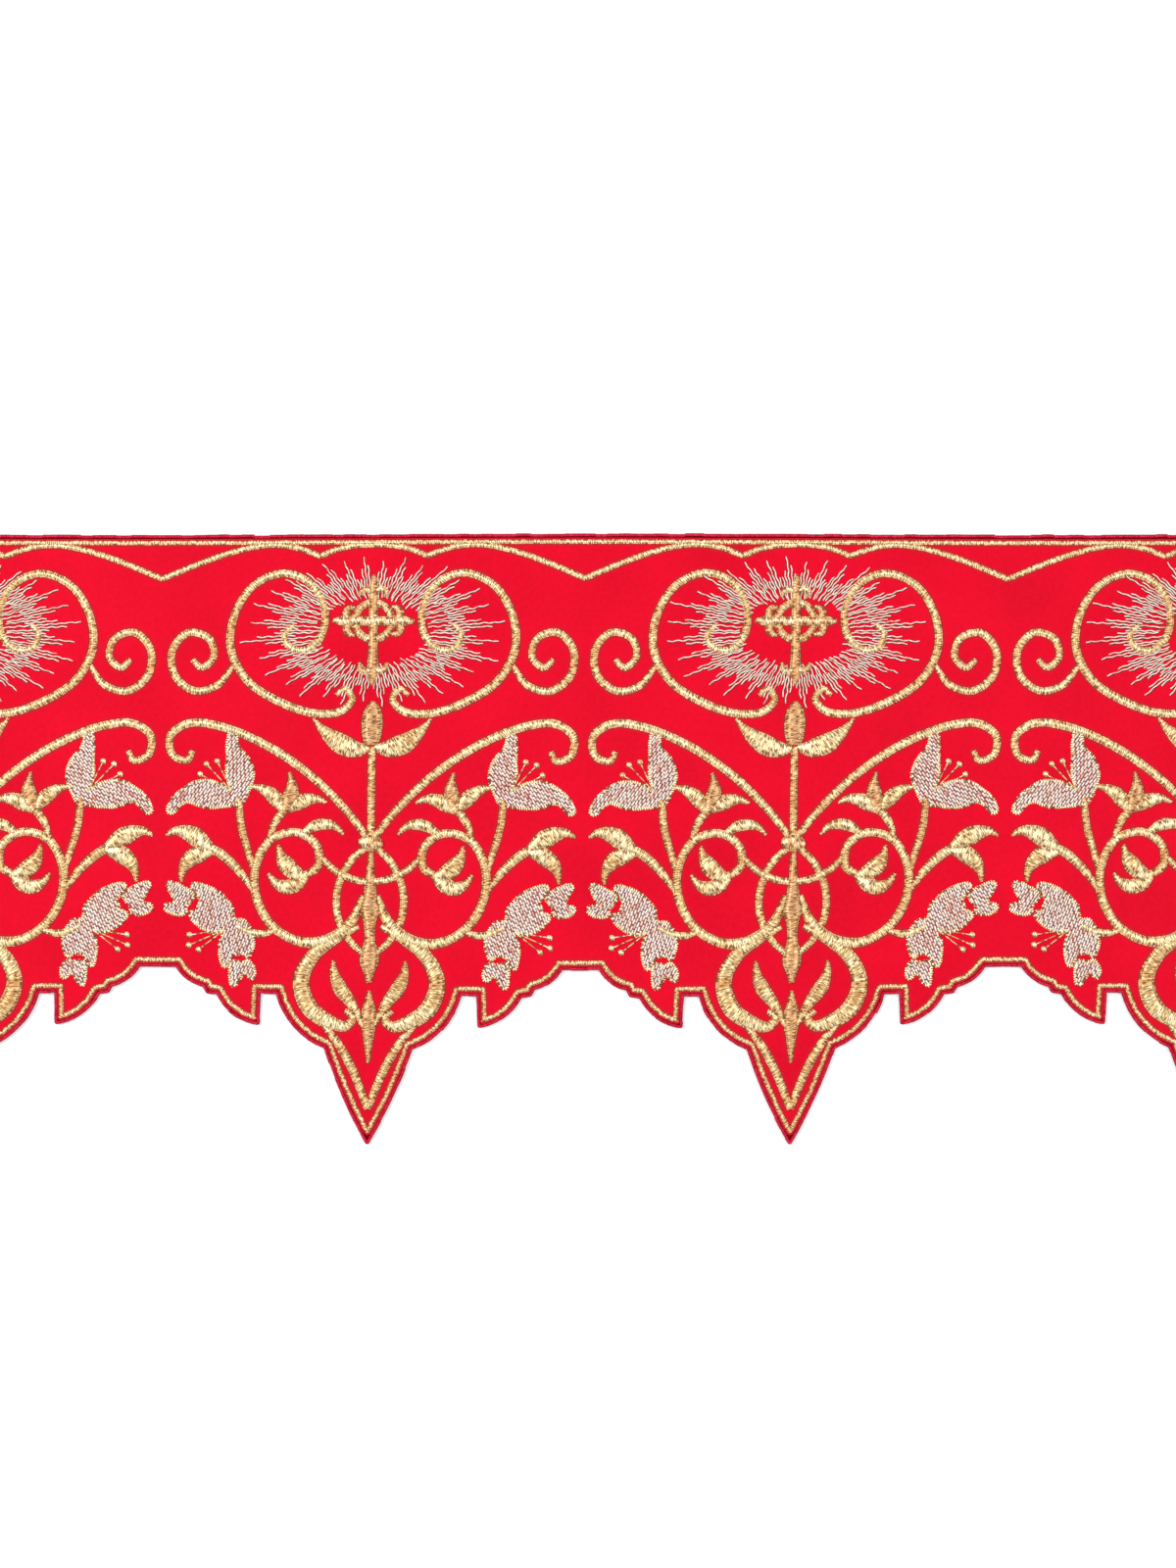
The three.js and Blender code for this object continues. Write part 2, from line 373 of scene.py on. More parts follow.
def middle_of_edges():
    """The middle of the box that the hem and the heading lie in on the floor."""
    heading = np.linspace(-LENGTH / 2, LENGTH / 2, 25)
    x = np.concatenate([HEM_LINE[:, 0], heading])
    down = np.concatenate([-HEM_LINE[:, 1], np.zeros(len(heading))])
    edge = np.column_stack(on_floor(x, down))
    return (edge.min(axis=0) + edge.max(axis=0)) / 2


HEM_LINE = hem_line()
MIDDLE = middle_of_edges()


def puckers(x, down):
    """How much the stitching draws the face of the cloth up or down."""
    slow = 0.10 * np.sin(x * 0.083 + 1.0) * np.sin(down * 0.061)
    return slow + 0.06 * np.sin(x * 0.19 + down * 0.11)


def lie(x, down, height):
    """Points of the flat pattern, in metres, at a height over the cloth's underside."""
    x, down, height = np.broadcast_arrays(x, down, height)
    across, back = on_floor(x, down)
    up = rise(across, back) + height + puckers(x, down) * np.clip(height / CLOTH_THICKNESS, 0, 1)
    return np.stack([across - MIDDLE[0], back - MIDDLE[1], up], axis=-1) * MM


# ---- spines -------------------------------------------------------------------------------------


def smooth_spine(rows, step=0.25):
    """A centripetal Catmull-Rom curve through a spine's rows, with close even points."""
    rows = np.array(rows, float)
    ends = np.vstack([2 * rows[0] - rows[1], rows, 2 * rows[-1] - rows[-2]])
    knots = np.sqrt(np.maximum(np.linalg.norm(np.diff(ends[:, :2], axis=0), axis=1), 1e-6))
    run = []
    for i in range(1, len(ends) - 2):
        p0, p1, p2, p3 = ends[i - 1 : i + 3]
        t01, t12, t23 = knots[i - 1 : i + 2]
        m1 = p2 - p1 + t12 * ((p1 - p0) / t01 - (p2 - p0) / (t01 + t12))
        m2 = p2 - p1 + t12 * ((p3 - p2) / t23 - (p3 - p1) / (t12 + t23))
        count = max(2, int(np.linalg.norm((p2 - p1)[:2]) / step))
        t = np.arange(count)[:, None] / count
        cubes = (2 * t**3 - 3 * t**2 + 1, t**3 - 2 * t**2 + t, -2 * t**3 + 3 * t**2, t**3 - t**2)
        run.append(cubes[0] * p1 + cubes[1] * m1 + cubes[2] * p2 + cubes[3] * m2)
    run.append(rows[-1:])
    return np.vstack(run)


def straight_spine(points, width, step=0.25):
    """Close even points along a line with corners, at one width."""
    points = np.array(points, float)
    lengths = np.concatenate([[0], np.cumsum(np.linalg.norm(np.diff(points, axis=0), axis=1))])
    stops = np.linspace(0, lengths[-1], max(3, int(lengths[-1] / step)))
    x, down = (np.interp(stops, lengths, points[:, i]) for i in (0, 1))
    return np.column_stack([x, down, np.full(len(stops), width)])


def both_sides(rows, centre):
    """A spine moved to a repeat's centre line, and its mirror unless it lies on that line."""
    rows = np.array(rows, float)
    sides = (1,) if abs(rows[:, 0].sum()) < 1e-6 else (1, -1)
    return [rows * (side, 1, 1) + (centre, 0, 0) for side in sides]


def turned(rows, at, turn, size=1.0):
    """A petal's rows (aside, along, width) at its place on the pattern (across, down, width)."""
    angle = math.radians(turn)
    aside, along, width = np.array(rows, float).T * size
    across = at[0] + aside * math.cos(angle) - along * math.sin(angle)
    up = aside * math.sin(angle) + along * math.cos(angle)
    return np.column_stack([across, at[1] - up, width])


def smooth_tangents(place, run, stops, reach=1.2):
    """Unit directions at stops along a line, evened out over a short reach so that corners turn."""
    tangent = np.gradient(place, run, axis=0)
    window = max(1, round(reach / max(run[-1] / len(run), 1e-3)))
    padded = np.pad(tangent, ((window, window), (0, 0)), mode="edge")
    kernel = np.ones(2 * window + 1) / (2 * window + 1)
    tangent = np.column_stack([np.convolve(padded[:, i], kernel, "valid") for i in (0, 1)])
    along = np.column_stack([np.interp(stops, run, tangent[:, i]) for i in (0, 1)])
    return along / np.maximum(np.linalg.norm(along, axis=1), 1e-6)[:, None]


# ---- stitches as meshes -------------------------------------------------------------------------

GROOVE_DEPTH = 0.10  # how far the groove between two satin threads lies below their crowns
SLACK_SHARE = 0.2  # of the grooves, where the threads part
SLACK_DEPTH = 0.08  # and how much farther down those lie
STITCH_DEPTH = 0.25  # how far a straight stitch's underside lies in the cloth
DIMPLE_WIDTH = 0.9  # the shaded cloth that satin stitch draws down along its sides
DIMPLE_HEIGHTS = (0.05, 0.01)  # over the face of the cloth, at its inner and outer edge
SATIN_SLANT = 7.0  # how far the threads lean from square to their line, in degrees
WIDE_SATIN = 3.3  # a piece wider than this has the wide cross section
SPLIT_SATIN = 3.6  # where it is wider than this, some threads split in the middle

# What a point's edge value stands for: thread, up to the first, then cloth that is drawn down, at
# the second, and that has come up again at the third; the thread near the first and the cloth past
# it are painted in shade. Faces past the last are shaded flat.
EDGE_THREAD, EDGE_DOWN, EDGE_UP = 0.98, 1.15, 1.8
EDGE_FLAT = 1.2

# cross sections of satin stitch: side to side, height as a share of the crown, and 1 in the dimple
SATIN_NARROW = np.array(
    [(1, 0, 1), (1, 0, 0), (0.8, 0.76, 0), (0, 1, 0), (-0.8, 0.76, 0), (-1, 0, 0), (-1, 0, 1)]
)
SATIN_WIDE = np.array(
    [(1, 0, 1), (1, 0, 0), (0.88, 0.66, 0), (0.48, 0.93, 0), (0, 1, 0), (-0.48, 0.93, 0),
     (-0.88, 0.66, 0), (-1, 0, 0), (-1, 0, 1)]
)

# cross sections of one straight stitch, from its upper side to its lower one on the cloth: side to
# side, height share, depth of shade
FLAT_RING = np.array(
    [(-0.5, 0.35, 0.1), (-0.2, 0.95, 0.0), (0.2, 0.95, 0.0), (0.5, 0.35, 0.5), (0.0, 0.0, 1.0)]
)
FILL_RING = np.array(
    [(-0.56, 0.45, 0.0), (-0.3, 1.0, 0.0), (0.0, 0.9, 0.0), (0.15, 0.6, 1.0), (0.58, 0.40, 1.0)]
)
# a ray's stitch: its last point lies on the cloth past the thread, a skirt of painted shadow
FINE_RING = np.array(
    [(-0.5, 0.3, 0.8), (-0.2, 1.0, 0.0), (0.12, 0.95, 0.0), (0.36, 0.5, 1.0), (1.1, 0.36, 1.0)]
)
# underlay stitches, painted dark all over as the shade that shows between the fill stitches
UNDERLAY_RING = np.array(
    [(-0.5, 0.0, 1.0), (-0.5, 0.96, 0.9), (0.0, 1.0, 1.0), (0.5, 0.96, 0.9), (0.5, 0.0, 1.0)]
)


class Sewing:
    """Gathers closed stitches and makes them one mesh, with what each point's colour needs."""

    KEYS = ("tone", "groove", "edge", "thread", "aside")

    def __init__(self, seed):
        self.random = np.random.default_rng(seed)
        self.points = []
        self.faces = []
        self.values = {key: [] for key in self.KEYS}
        self.count = 0

    def add(self, points, faces, **values):
        """Adds points (any shape, 3), faces that number them, and a value of each key for each."""
        shape = points.shape[:-1]
        self.points.append(points.reshape(-1, 3))
        self.faces += [rows + self.count for rows in faces]
        for key in self.KEYS:
            self.values[key].append(np.broadcast_to(values.get(key, 0.0), shape).ravel())
        self.count += math.prod(shape)

    def tube(self, rings, **values):
        """Adds rings of points (rows, points in a ring, 3) as a capped tube."""
        rows, around, _ = rings.shape
        index = np.arange(rows * around).reshape(rows, around)
        here, there = index[:-1], index[1:]
        walls = np.stack([here, there, np.roll(there, -1, axis=1), np.roll(here, -1, axis=1)], axis=-1)
        fan = np.array([(0, i, i + 1) for i in range(1, around - 1)])
        self.add(rings, [walls.reshape(-1, 4), index[0][fan], index[-1][fan[:, ::-1]]], **values)

    def satin(
        self, spine, pitch, height, lift=0.0, tone=0.5, spread=0.11, mottle=0.0, dimpled=DIMPLE_WIDTH
    ):
        """Satin stitch along a dense spine: a ridge for each thread laid across it, grooves between
        in painted shade. lift takes it over what it crosses. tone and spread set the threads' colours,
        mottle their unevenness and short dark specks of painted shade, and dimpled the width of the
        cloth drawn down beside, in painted shade."""
        place = spine[:, :2]
        steps = np.linalg.norm(np.diff(place, axis=0), axis=1)
        run = np.concatenate([[0], np.cumsum(steps)])
        threads = max(3, round(run[-1] / pitch))
        rows = 2 * threads + 1
        stops = np.linspace(0, run[-1], rows)
        ridge = (np.arange(rows) % 2 == 1).astype(float)
        x, down, width = (np.interp(stops, run, spine[:, i]) for i in range(3))
        along = smooth_tangents(place, run, stops)
        tilt = np.radians(SATIN_SLANT + self.random.normal(0, 2.0, rows))[:, None]
        across = np.column_stack([-along[:, 1], along[:, 0]])
        across = across * np.cos(tilt) + along * np.sin(tilt)

        wide = width.max() > WIDE_SATIN
        side, dome, dimple = (SATIN_WIDE if wide else SATIN_NARROW).T
        slack = (self.random.random(rows) < SLACK_SHARE) * (1 - ridge)
        crown = height * np.clip(0.5 + 0.2 * width, 0.7, 1.5)
        crown = crown * (1 + self.random.normal(0, 0.05, rows)) + lift
        crown = crown - GROOVE_DEPTH * (1 - ridge) - SLACK_DEPTH * slack
        crown[[0, -1]] *= 0.3
        reach = width[:, None] / 2 - 0.06 + 0.05 * ridge[:, None]
        reach = reach + self.random.normal(0, 0.045, (rows, 2))
        reach = np.where(side < 0, reach[:, :1], reach[:, 1:]) * side
        reach = reach + np.sign(side) * dimple * dimpled
        px = x[:, None] + across[:, :1] * reach
        pd = down[:, None] + across[:, 1:] * reach
        pz = CLOTH_THICKNESS + np.choose(dimple.astype(int), DIMPLE_HEIGHTS) + crown[:, None] * dome
        rings = lie(px, pd, pz)

        # each thread has a tone of its own, on one that drifts along the line; a painted sheen lightens
        # those that run down the cloth, and painted shade makes all a little duller on the crest
        by_row = np.repeat(self.random.normal(0, spread, threads + 1), 2)[:rows]
        slow = np.convolve(self.random.normal(0, 0.08, rows + 12), np.ones(13) / 13**0.5, "valid")
        facing_sheen = 0.55 * (np.abs(across[:, 1]) - 0.66)
        crest_shade = -0.04 * (1 - 2 * side**2)
        tones = (tone + facing_sheen + by_row + slow)[:, None] + crest_shade
        tones = tones + self.random.normal(0, 1, px.shape) * (0.04 + mottle)
        # short dark specks, the grooves between threads and the splits in wide ones are painted shade
        speck = self.random.random(px.shape) < 0.02 + 0.3 * mottle
        speck = speck * self.random.uniform(0.4, 1.0, px.shape)
        grooves = (1 - ridge)[:, None] * (0.10 + 0.12 * slack[:, None])
        grooves = grooves + speck * (0.35 + 0.65 * (1 - ridge))[:, None]
        if wide:
            split = (np.abs(side) < 0.1) * (self.random.random(rows) < 0.4)[:, None]
            grooves = grooves + 0.35 * split * (width > SPLIT_SATIN)[:, None]
        grooves = np.clip(grooves, 0, 1)
        # the edge value paints shade where the thread turns down, and on the cloth drawn down beside it
        edges = np.abs(side) ** 3 * self.random.uniform(0.8, 1.0, px.shape) + (EDGE_UP - 1) * dimple
        order = np.arange(rows)[:, None] / 2
        self.tube(rings, tone=tones, groove=grooves, edge=edges, thread=order, aside=reach)

    def stitches(
        self, starts, ends, width, height, tone=0.5, spread=0.2, ring=FLAT_RING, dive=0.14,
        first_shade=1.0, tip_shade=1.0, on_cloth=False,
    ):
        """Straight stitches from starts to ends, each a slim spindle whose tips dive into the cloth.
        The shade at their sides is thread, or with on_cloth the red cloth that they draw down."""
        backwards = (ends[:, 0] < starts[:, 0])[:, None]
        starts, ends = np.where(backwards, ends, starts), np.where(backwards, starts, ends)
        count, around = len(starts), len(ring)
        along = ends - starts
        length = np.maximum(np.linalg.norm(along, axis=1), 1e-6)[:, None]
        side = np.column_stack([-along[:, 1], along[:, 0]]) / length
        widths = width * (1 + self.random.normal(0, 0.06, count))[:, None, None]
        share = np.array([dive, 1 - dive])[None, :, None]
        middle = starts[:, None] + along[:, None] * share
        ringed = middle[:, :, None] + side[:, None, None] * (widths * ring[:, 0])[..., None]
        tips = np.stack([starts, ends], axis=1)
        flat = np.concatenate([tips[:, :1], ringed.reshape(count, -1, 2), tips[:, 1:]], axis=1)
        up = np.concatenate([[0.0], ring[:, 1], ring[:, 1], [0.0]])
        tall = np.broadcast_to(height, count)[:, None] + STITCH_DEPTH
        points = lie(flat[..., 0], flat[..., 1], CLOTH_THICKNESS - STITCH_DEPTH + tall * up)
        first = np.arange(count)[:, None] * (2 * around + 2)
        here = 1 + np.arange(around)
        after = 1 + (np.arange(around) + 1) % around
        tip = np.zeros(around, int)
        end = tip + 2 * around + 1
        faces = [
            np.stack([tip, after, here], axis=-1),
            np.stack([here, after, after + around, here + around], axis=-1),
            np.stack([here + around, after + around, end], axis=-1),
        ]
        faces = [(rows[None] + first[..., None]).reshape(-1, rows.shape[1]) for rows in faces]
        tones = tone + self.random.normal(0, spread, count)[:, None]
        shade = np.concatenate([[tip_shade], ring[:, 2] * first_shade, ring[:, 2], [tip_shade]])
        order = np.arange(count)[:, None] * 1.0
        near, far = np.full(around, dive), np.full(around, 1 - dive)
        aside = np.concatenate([[0.0], near, far, [1.0]]) * length
        shades = {"edge": EDGE_DOWN * shade} if on_cloth else {"groove": shade}
        self.add(points, faces, tone=tones, thread=order, aside=aside, **shades)

    def make(self, name, material):
        """The gathered stitches as one object."""
        values = {key: np.concatenate(parts) for key, parts in self.values.items()}
        return mesh_object(name, np.concatenate(self.points), self.faces, material, values)


def mesh_object(name, points, faces, material, values):
    """A mesh at the origin from points, tables of faces, and a value for each point. It is smooth
    but for the dimples, whose rims are too thin to share their shading with the underside."""
    mesh = bpy.data.meshes.new(name)
    mesh.vertices.add(len(points))
    mesh.vertices.foreach_set("co", points.astype(np.float32).ravel())
    corners = np.concatenate([rows.ravel() for rows in faces])
    face_sizes = np.concatenate([np.full(len(rows), rows.shape[1]) for rows in faces])
    starts = np.concatenate([[0], np.cumsum(face_sizes)[:-1]])
    mesh.loops.add(len(corners))
    mesh.loops.foreach_set("vertex_index", corners.astype(np.int32))
    mesh.polygons.add(len(starts))
    mesh.polygons.foreach_set("loop_start", starts.astype(np.int32))
    edge = values.get("edge", np.zeros(len(points)))
    flat = np.maximum.reduceat(edge[corners], starts) > EDGE_FLAT
    mesh.polygons.foreach_set("use_smooth", ~flat)
    for key, numbers in values.items():
        layer = mesh.attributes.new(key, "FLOAT", "POINT")
        layer.data.foreach_set("value", numbers.astype(np.float32))
    mesh.update(calc_edges=True)
    mesh.validate()
    mesh.materials.append(material)
    made = bpy.data.objects.new(name, mesh)
    bpy.context.scene.collection.objects.link(made)
    return made


def map_from_above(obj, underside_from=None):
    """Gives a piece the map that its finish is read through. Loops under the cloth go beside it."""
    mesh = obj.data
    points = np.empty(len(mesh.vertices) * 3, np.float32)
    mesh.vertices.foreach_get("co", points)
    points = points.reshape(-1, 3)[:, :2]
    corners = np.empty(len(mesh.loops), np.int32)
    mesh.loops.foreach_get("vertex_index", corners)
    low, high = points.min(axis=0), points.max(axis=0)
    side = (high - low).max()
    uv = (points[corners] - low) / side
    if underside_from is not None:
        uv[corners >= underside_from, 1] += 0.5
    layer = mesh.uv_layers.new(name="OFBake")
    layer.data.foreach_set("uv", uv.astype(np.float32).ravel())


# ---- materials ----------------------------------------------------------------------------------


def add_node(tree, kind, feeds=None, out=None, **settings):
    """Adds a shader node; feeds gives each input's value, or the output that is linked to it. It
    gives back the node, or the one output that out names."""
    made = tree.nodes.new("ShaderNode" + kind)
    for name, value in settings.items():
        setattr(made, name, value)
    for name, value in (feeds or {}).items():
        if isinstance(value, bpy.types.NodeSocket):
            tree.links.new(value, made.inputs[name])
        else:
            made.inputs[name].default_value = value
    return made if out is None else made.outputs[out]


def new_material(name):
    """A material with an empty node tree."""
    material = bpy.data.materials.new(name)
    material.use_nodes = True
    tree = material.node_tree
    tree.nodes.clear()
    return material, tree


def finish_surface(tree, colour, roughness, bump, **more):
    """Ends a tree in its surface; more gives other inputs, with _ for a space."""
    feeds = {"Base Color": colour, "Roughness": roughness, "Normal": bump}
    feeds.update({name.replace("_", " "): value for name, value in more.items()})
    surface = add_node(tree, "BsdfPrincipled", feeds, out=0)
    add_node(tree, "OutputMaterial", {"Surface": surface})


def darker(colour, share):
    """A linear colour at a share of its strength."""
    return [c * share for c in list(colour)[:3]] + [1.0]


def satin_weave(colours):
    """Polyester satin, woven with long floats: an even saturated red with a soft red gloss."""
    material, tree = new_material("polyester_satin_red")
    place = add_node(tree, "TexCoord", out="Object")
    place = add_node(tree, "Mapping", {"Vector": place, "Scale": (1 / MM,) * 3}, out=0)
    # the length was pressed flat: very faint broad shade where it still bows, over about 30 mm
    broad = add_node(tree, "TexNoise", {"Vector": place, "Scale": 1 / 30, "Detail": 2.0}, out="Fac")
    # and a finer mottle, of 1.4 mm, where the backing shows through
    fine = add_node(tree, "TexNoise", {"Vector": place, "Scale": 1 / 1.4, "Detail": 3.0}, out="Fac")
    # floats are about 0.15 mm apart, and are drawn at 0.7 mm so that they show
    bands = {
        "Vector": place, "Scale": math.pi / 5, "Distortion": 1.2, "Detail": 1.0, "Detail Scale": 2.0,
    }
    floats = add_node(tree, "TexWave", bands, out="Fac", bands_direction="DIAGONAL")
    shade = add_node(tree, "Math", {0: broad, 1: 1.2}, out=0, operation="MULTIPLY")
    shade = add_node(tree, "Math", {0: fine, 1: shade}, out=0, operation="ADD")
    shade = add_node(tree, "MapRange", {"Value": shade, "From Min": 0.70, "From Max": 1.50}, out=0)
    groove = add_node(tree, "Attribute", out="Fac", attribute_name="groove")
    red = list(colours.satin_red)
    colour = {"Factor": shade, "A": darker(red, 1.06), "B": darker(red, 0.84)}
    colour = add_node(tree, "Mix", colour, out="Result", data_type="RGBA")
    # painted shade where the sheet is pressed down under the rolled edge
    colour = {"Factor": groove, "A": colour, "B": darker(red, 0.30)}
    colour = add_node(tree, "Mix", colour, out="Result", data_type="RGBA")
    height = add_node(tree, "Math", {0: floats, 1: fine}, out=0, operation="ADD")
    bump = add_node(tree, "Bump", {"Strength": 0.12, "Distance": 0.05 * MM, "Height": height}, out=0)
    finish_surface(
        tree, colour, 0.46, bump, Specular_IOR_Level=0.22, Specular_Tint=(1.0, 0.12, 0.16, 1.0)
    )
    return material


DIMPLE_SHADE_RED = "b00814"  # painted shade on the cloth where gold thread draws it down
RAY_SHADOW_RED = "6e0a12"  # painted shadow on the cloth where a silver ray does
DIMPLE_RIM_SHADE_RED = "ce0a22"  # lighter painted shade where it comes up again
CLOTH_ROUGHNESS = 0.95  # in the dimple


def thread_material(
    name, ramp, edge, deep, roughness, metallic, strands=2.0, specks=0.0, specular=0.5,
    dimple=DIMPLE_SHADE_RED,
):
    """Thread laid side by side. Its tone picks the colour; it turns to the edge colour, a painted
    shade, where it bends down, and to the groove colour, a painted shade, between threads. Each
    ridge shows the strands it is laid of, and here and there a short dark gap in painted shade
    between two of them. Past its edge is the dimpled cloth, painted in shade."""
    material, tree = new_material(name)
    tone, thread, aside, groove, bend = (
        add_node(tree, "Attribute", out="Fac", attribute_name=key)
        for key in ("tone", "thread", "aside", "groove", "edge")
    )
    strand = add_node(tree, "Math", {0: thread, 1: strands}, out=0, operation="MULTIPLY")
    number = add_node(tree, "Math", {0: strand}, out=0, operation="FLOOR")
    own = add_node(tree, "TexWhiteNoise", {"W": number}, out=0, noise_dimensions="1D")
    # filaments are about 0.02 mm thick, and are drawn at 0.5 mm
    across = add_node(tree, "Math", {0: strand, 1: 0.5}, out=0, operation="MULTIPLY")
    along = add_node(tree, "Math", {0: aside, 1: 0.6}, out=0, operation="MULTIPLY")
    place = add_node(tree, "CombineXYZ", {"X": across, "Y": along}, out=0)
    filament = add_node(tree, "TexNoise", {"Vector": place, "Scale": 1.0, "Detail": 1.0}, out="Fac")
    # each strand and each filament is a little lighter or darker than the thread's tone
    tone = add_node(tree, "Math", {0: tone, 1: 0.25}, out=0, operation="SUBTRACT")
    tone = add_node(tree, "Math", {0: own, 1: 0.5, 2: tone}, out=0, operation="MULTIPLY_ADD")
    uneven = add_node(tree, "Math", {0: filament, 1: 0.5}, out=0, operation="SUBTRACT")
    tone = add_node(tree, "Math", {0: uneven, 1: 1.3, 2: tone}, out=0, operation="MULTIPLY_ADD")
    colours = add_node(tree, "ValToRGB", {"Fac": tone})
    stops = colours.color_ramp.elements
    for place_on_ramp, colour in ramp[1:-1]:
        stops.new(place_on_ramp)
    for stop, (place_on_ramp, colour) in zip(stops, ramp):
        stop.position = place_on_ramp
        stop.color = colour
    bent = add_node(tree, "MapRange", {"Value": bend, "From Min": 0.35, "From Max": 0.95}, out=0)
    colour = {"Factor": bent, "A": colours.outputs["Color"], "B": edge}
    colour = add_node(tree, "Mix", colour, out="Result", data_type="RGBA")
    # gaps in painted shade are about 0.4 mm wide and 1.5 mm long, and more open toward the sides
    across = add_node(tree, "Math", {0: strand, 1: 0.85}, out=0, operation="MULTIPLY")
    place = add_node(tree, "CombineXYZ", {"X": across, "Y": along, "Z": 50.0}, out=0)
    gap = add_node(tree, "TexNoise", {"Vector": place, "Scale": 1.0, "Detail": 0.0}, out="Fac")
    gap = add_node(tree, "Math", {0: bend, 1: 0.07, 2: gap}, out=0, operation="MULTIPLY_ADD")
    gap = {"Value": gap, "From Min": 0.53, "From Max": 0.62, "To Max": specks}
    gap = add_node(tree, "MapRange", gap, out=0)
    for shade in (gap, groove):
        colour = {"Factor": shade, "A": colour, "B": deep}
        colour = add_node(tree, "Mix", colour, out="Result", data_type="RGBA")
    # past the edge, the cloth is painted in shade where it is drawn down, lighter as it comes up to the
    # satin's red
    drawn_down = {"Value": bend, "From Min": EDGE_THREAD, "From Max": EDGE_DOWN}
    drawn_down = add_node(tree, "MapRange", drawn_down, out=0)
    coming_up = {"Value": bend, "From Min": EDGE_DOWN, "From Max": EDGE_UP}
    coming_up = add_node(tree, "MapRange", coming_up, out=0)
    cloth = {"Factor": coming_up, "A": linear(dimple), "B": linear(DIMPLE_RIM_SHADE_RED)}
    cloth = add_node(tree, "Mix", cloth, out="Result", data_type="RGBA")
    colour = {"Factor": drawn_down, "A": colour, "B": cloth}
    colour = add_node(tree, "Mix", colour, out="Result", data_type="RGBA")
    turn = add_node(tree, "Math", {0: strand, 1: 2 * math.pi}, out=0, operation="MULTIPLY")
    twist = add_node(tree, "Math", {0: turn}, out=0, operation="SINE")
    height = {0: twist, 1: -0.4, 2: filament}
    height = add_node(tree, "Math", height, out=0, operation="MULTIPLY_ADD")
    bump = add_node(tree, "Bump", {"Strength": 0.3, "Distance": 0.1 * MM, "Height": height}, out=0)
    # the dimple is matt, and has no metal in it
    matt = {0: drawn_down, 1: CLOTH_ROUGHNESS - roughness, 2: roughness}
    roughness = add_node(tree, "Math", matt, out=0, operation="MULTIPLY_ADD")
    if metallic > 0:
        bare = {0: drawn_down, 1: -metallic, 2: metallic}
        metallic = add_node(tree, "Math", bare, out=0, operation="MULTIPLY_ADD")
    finish_surface(tree, colour, roughness, bump, Metallic=metallic, Specular_IOR_Level=specular)
    return material


GOLD_ROUGHNESS = 0.36
GOLD_METALLIC = 0.5  # a thin metal skin on polyester film
GOLD_GAP_SHADE = 0.9  # how dark the painted shade in the gaps between its strands is

MATERIALS = {}  # the finishes, once make_materials has run


def make_materials(colours):
    """Makes the five finishes, from the user's colours."""
    gold, light = list(colours.gold), list(colours.gold_light)
    edge, deep, old = list(colours.gold_bend_shade), list(colours.gold_groove_shade), list(colours.old_gold)
    silver, red = list(colours.silver), list(colours.roll_red)
    MATERIALS["satin"] = satin_weave(colours)
    # metallised polyester thread: painted cream glints on the crests, painted copper shade where it
    # bends, painted brown shade between
    MATERIALS["gold"] = thread_material(
        "metallised_gold_thread",
        [(0.0, darker(old, 0.8)), (0.42, gold), (0.95, light)],
        edge=edge,
        deep=deep,
        roughness=GOLD_ROUGHNESS,
        metallic=GOLD_METALLIC,
        specks=GOLD_GAP_SHADE,
    )
    # the same thread in short close stitches reads mottled; it is painted darker and more orange, as
    # shade from how the light falls across its threads
    MATERIALS["old_gold"] = thread_material(
        "metallised_old_gold_thread",
        [(0.0, darker(edge, 0.7)), (0.5, old), (1.0, light)],
        edge=gold,
        deep=deep,
        roughness=GOLD_ROUGHNESS,
        metallic=GOLD_METALLIC,
        specks=GOLD_GAP_SHADE,
    )
    # metallised silver thread: near white, some of it pinked by a painted reflection of the red cloth,
    # with painted deep red shade between
    MATERIALS["silver"] = thread_material(
        "metallised_silver_thread",
        [(0.0, list(colours.silver_pink)), (0.5, silver), (1.0, linear("fffaf2"))],
        edge=silver,
        deep=list(colours.silver_groove_shade),
        roughness=0.45,
        metallic=0.0,
        strands=1.0,
        dimple=RAY_SHADOW_RED,
    )
    # rayon overcasting thread: a soft bright red, painted lighter on top, with painted crimson shade
    # between the turns and painted wine red shade below
    MATERIALS["roll"] = thread_material(
        "rayon_thread_red",
        [(0.0, darker(red, 0.75)), (0.5, red), (1.0, linear("ff3a5a"))],
        edge=linear("800a1e"),
        deep=linear("7a0418"),
        roughness=0.7,
        metallic=0.0,
        specular=0.0,
    )


# ---- operators ----------------------------------------------------------------------------------


def sizes():
    """The user's sizes in millimetres."""
    group = bpy.context.scene.trim_sizes
    names = [n for n in group.__annotations__ if n != "seed"]
    return {name: getattr(group, name) / MM for name in names}


def seed(number):
    """Where a piece's random draws start; each piece has a number of its own."""
    return bpy.context.scene.trim_sizes.seed * 1000 + number


def sew(name, slot, material, number, work, *about):
    """Makes one piece, which rides with the cloth: work adds its stitches, from what about gives."""
    sewing = Sewing(seed(number))
    work(sewing, sizes(), *about)
    piece = sewing.make(name, MATERIALS[material])
    map_from_above(piece)
    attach(piece, "root")
    return piece


def sew_satin(sewing, size, spines, **options):
    """Adds satin stitch along each of some spines."""
    for spine in spines:
        sewing.satin(smooth_spine(spine), size["satin_pitch"], size["satin_height"], **options)


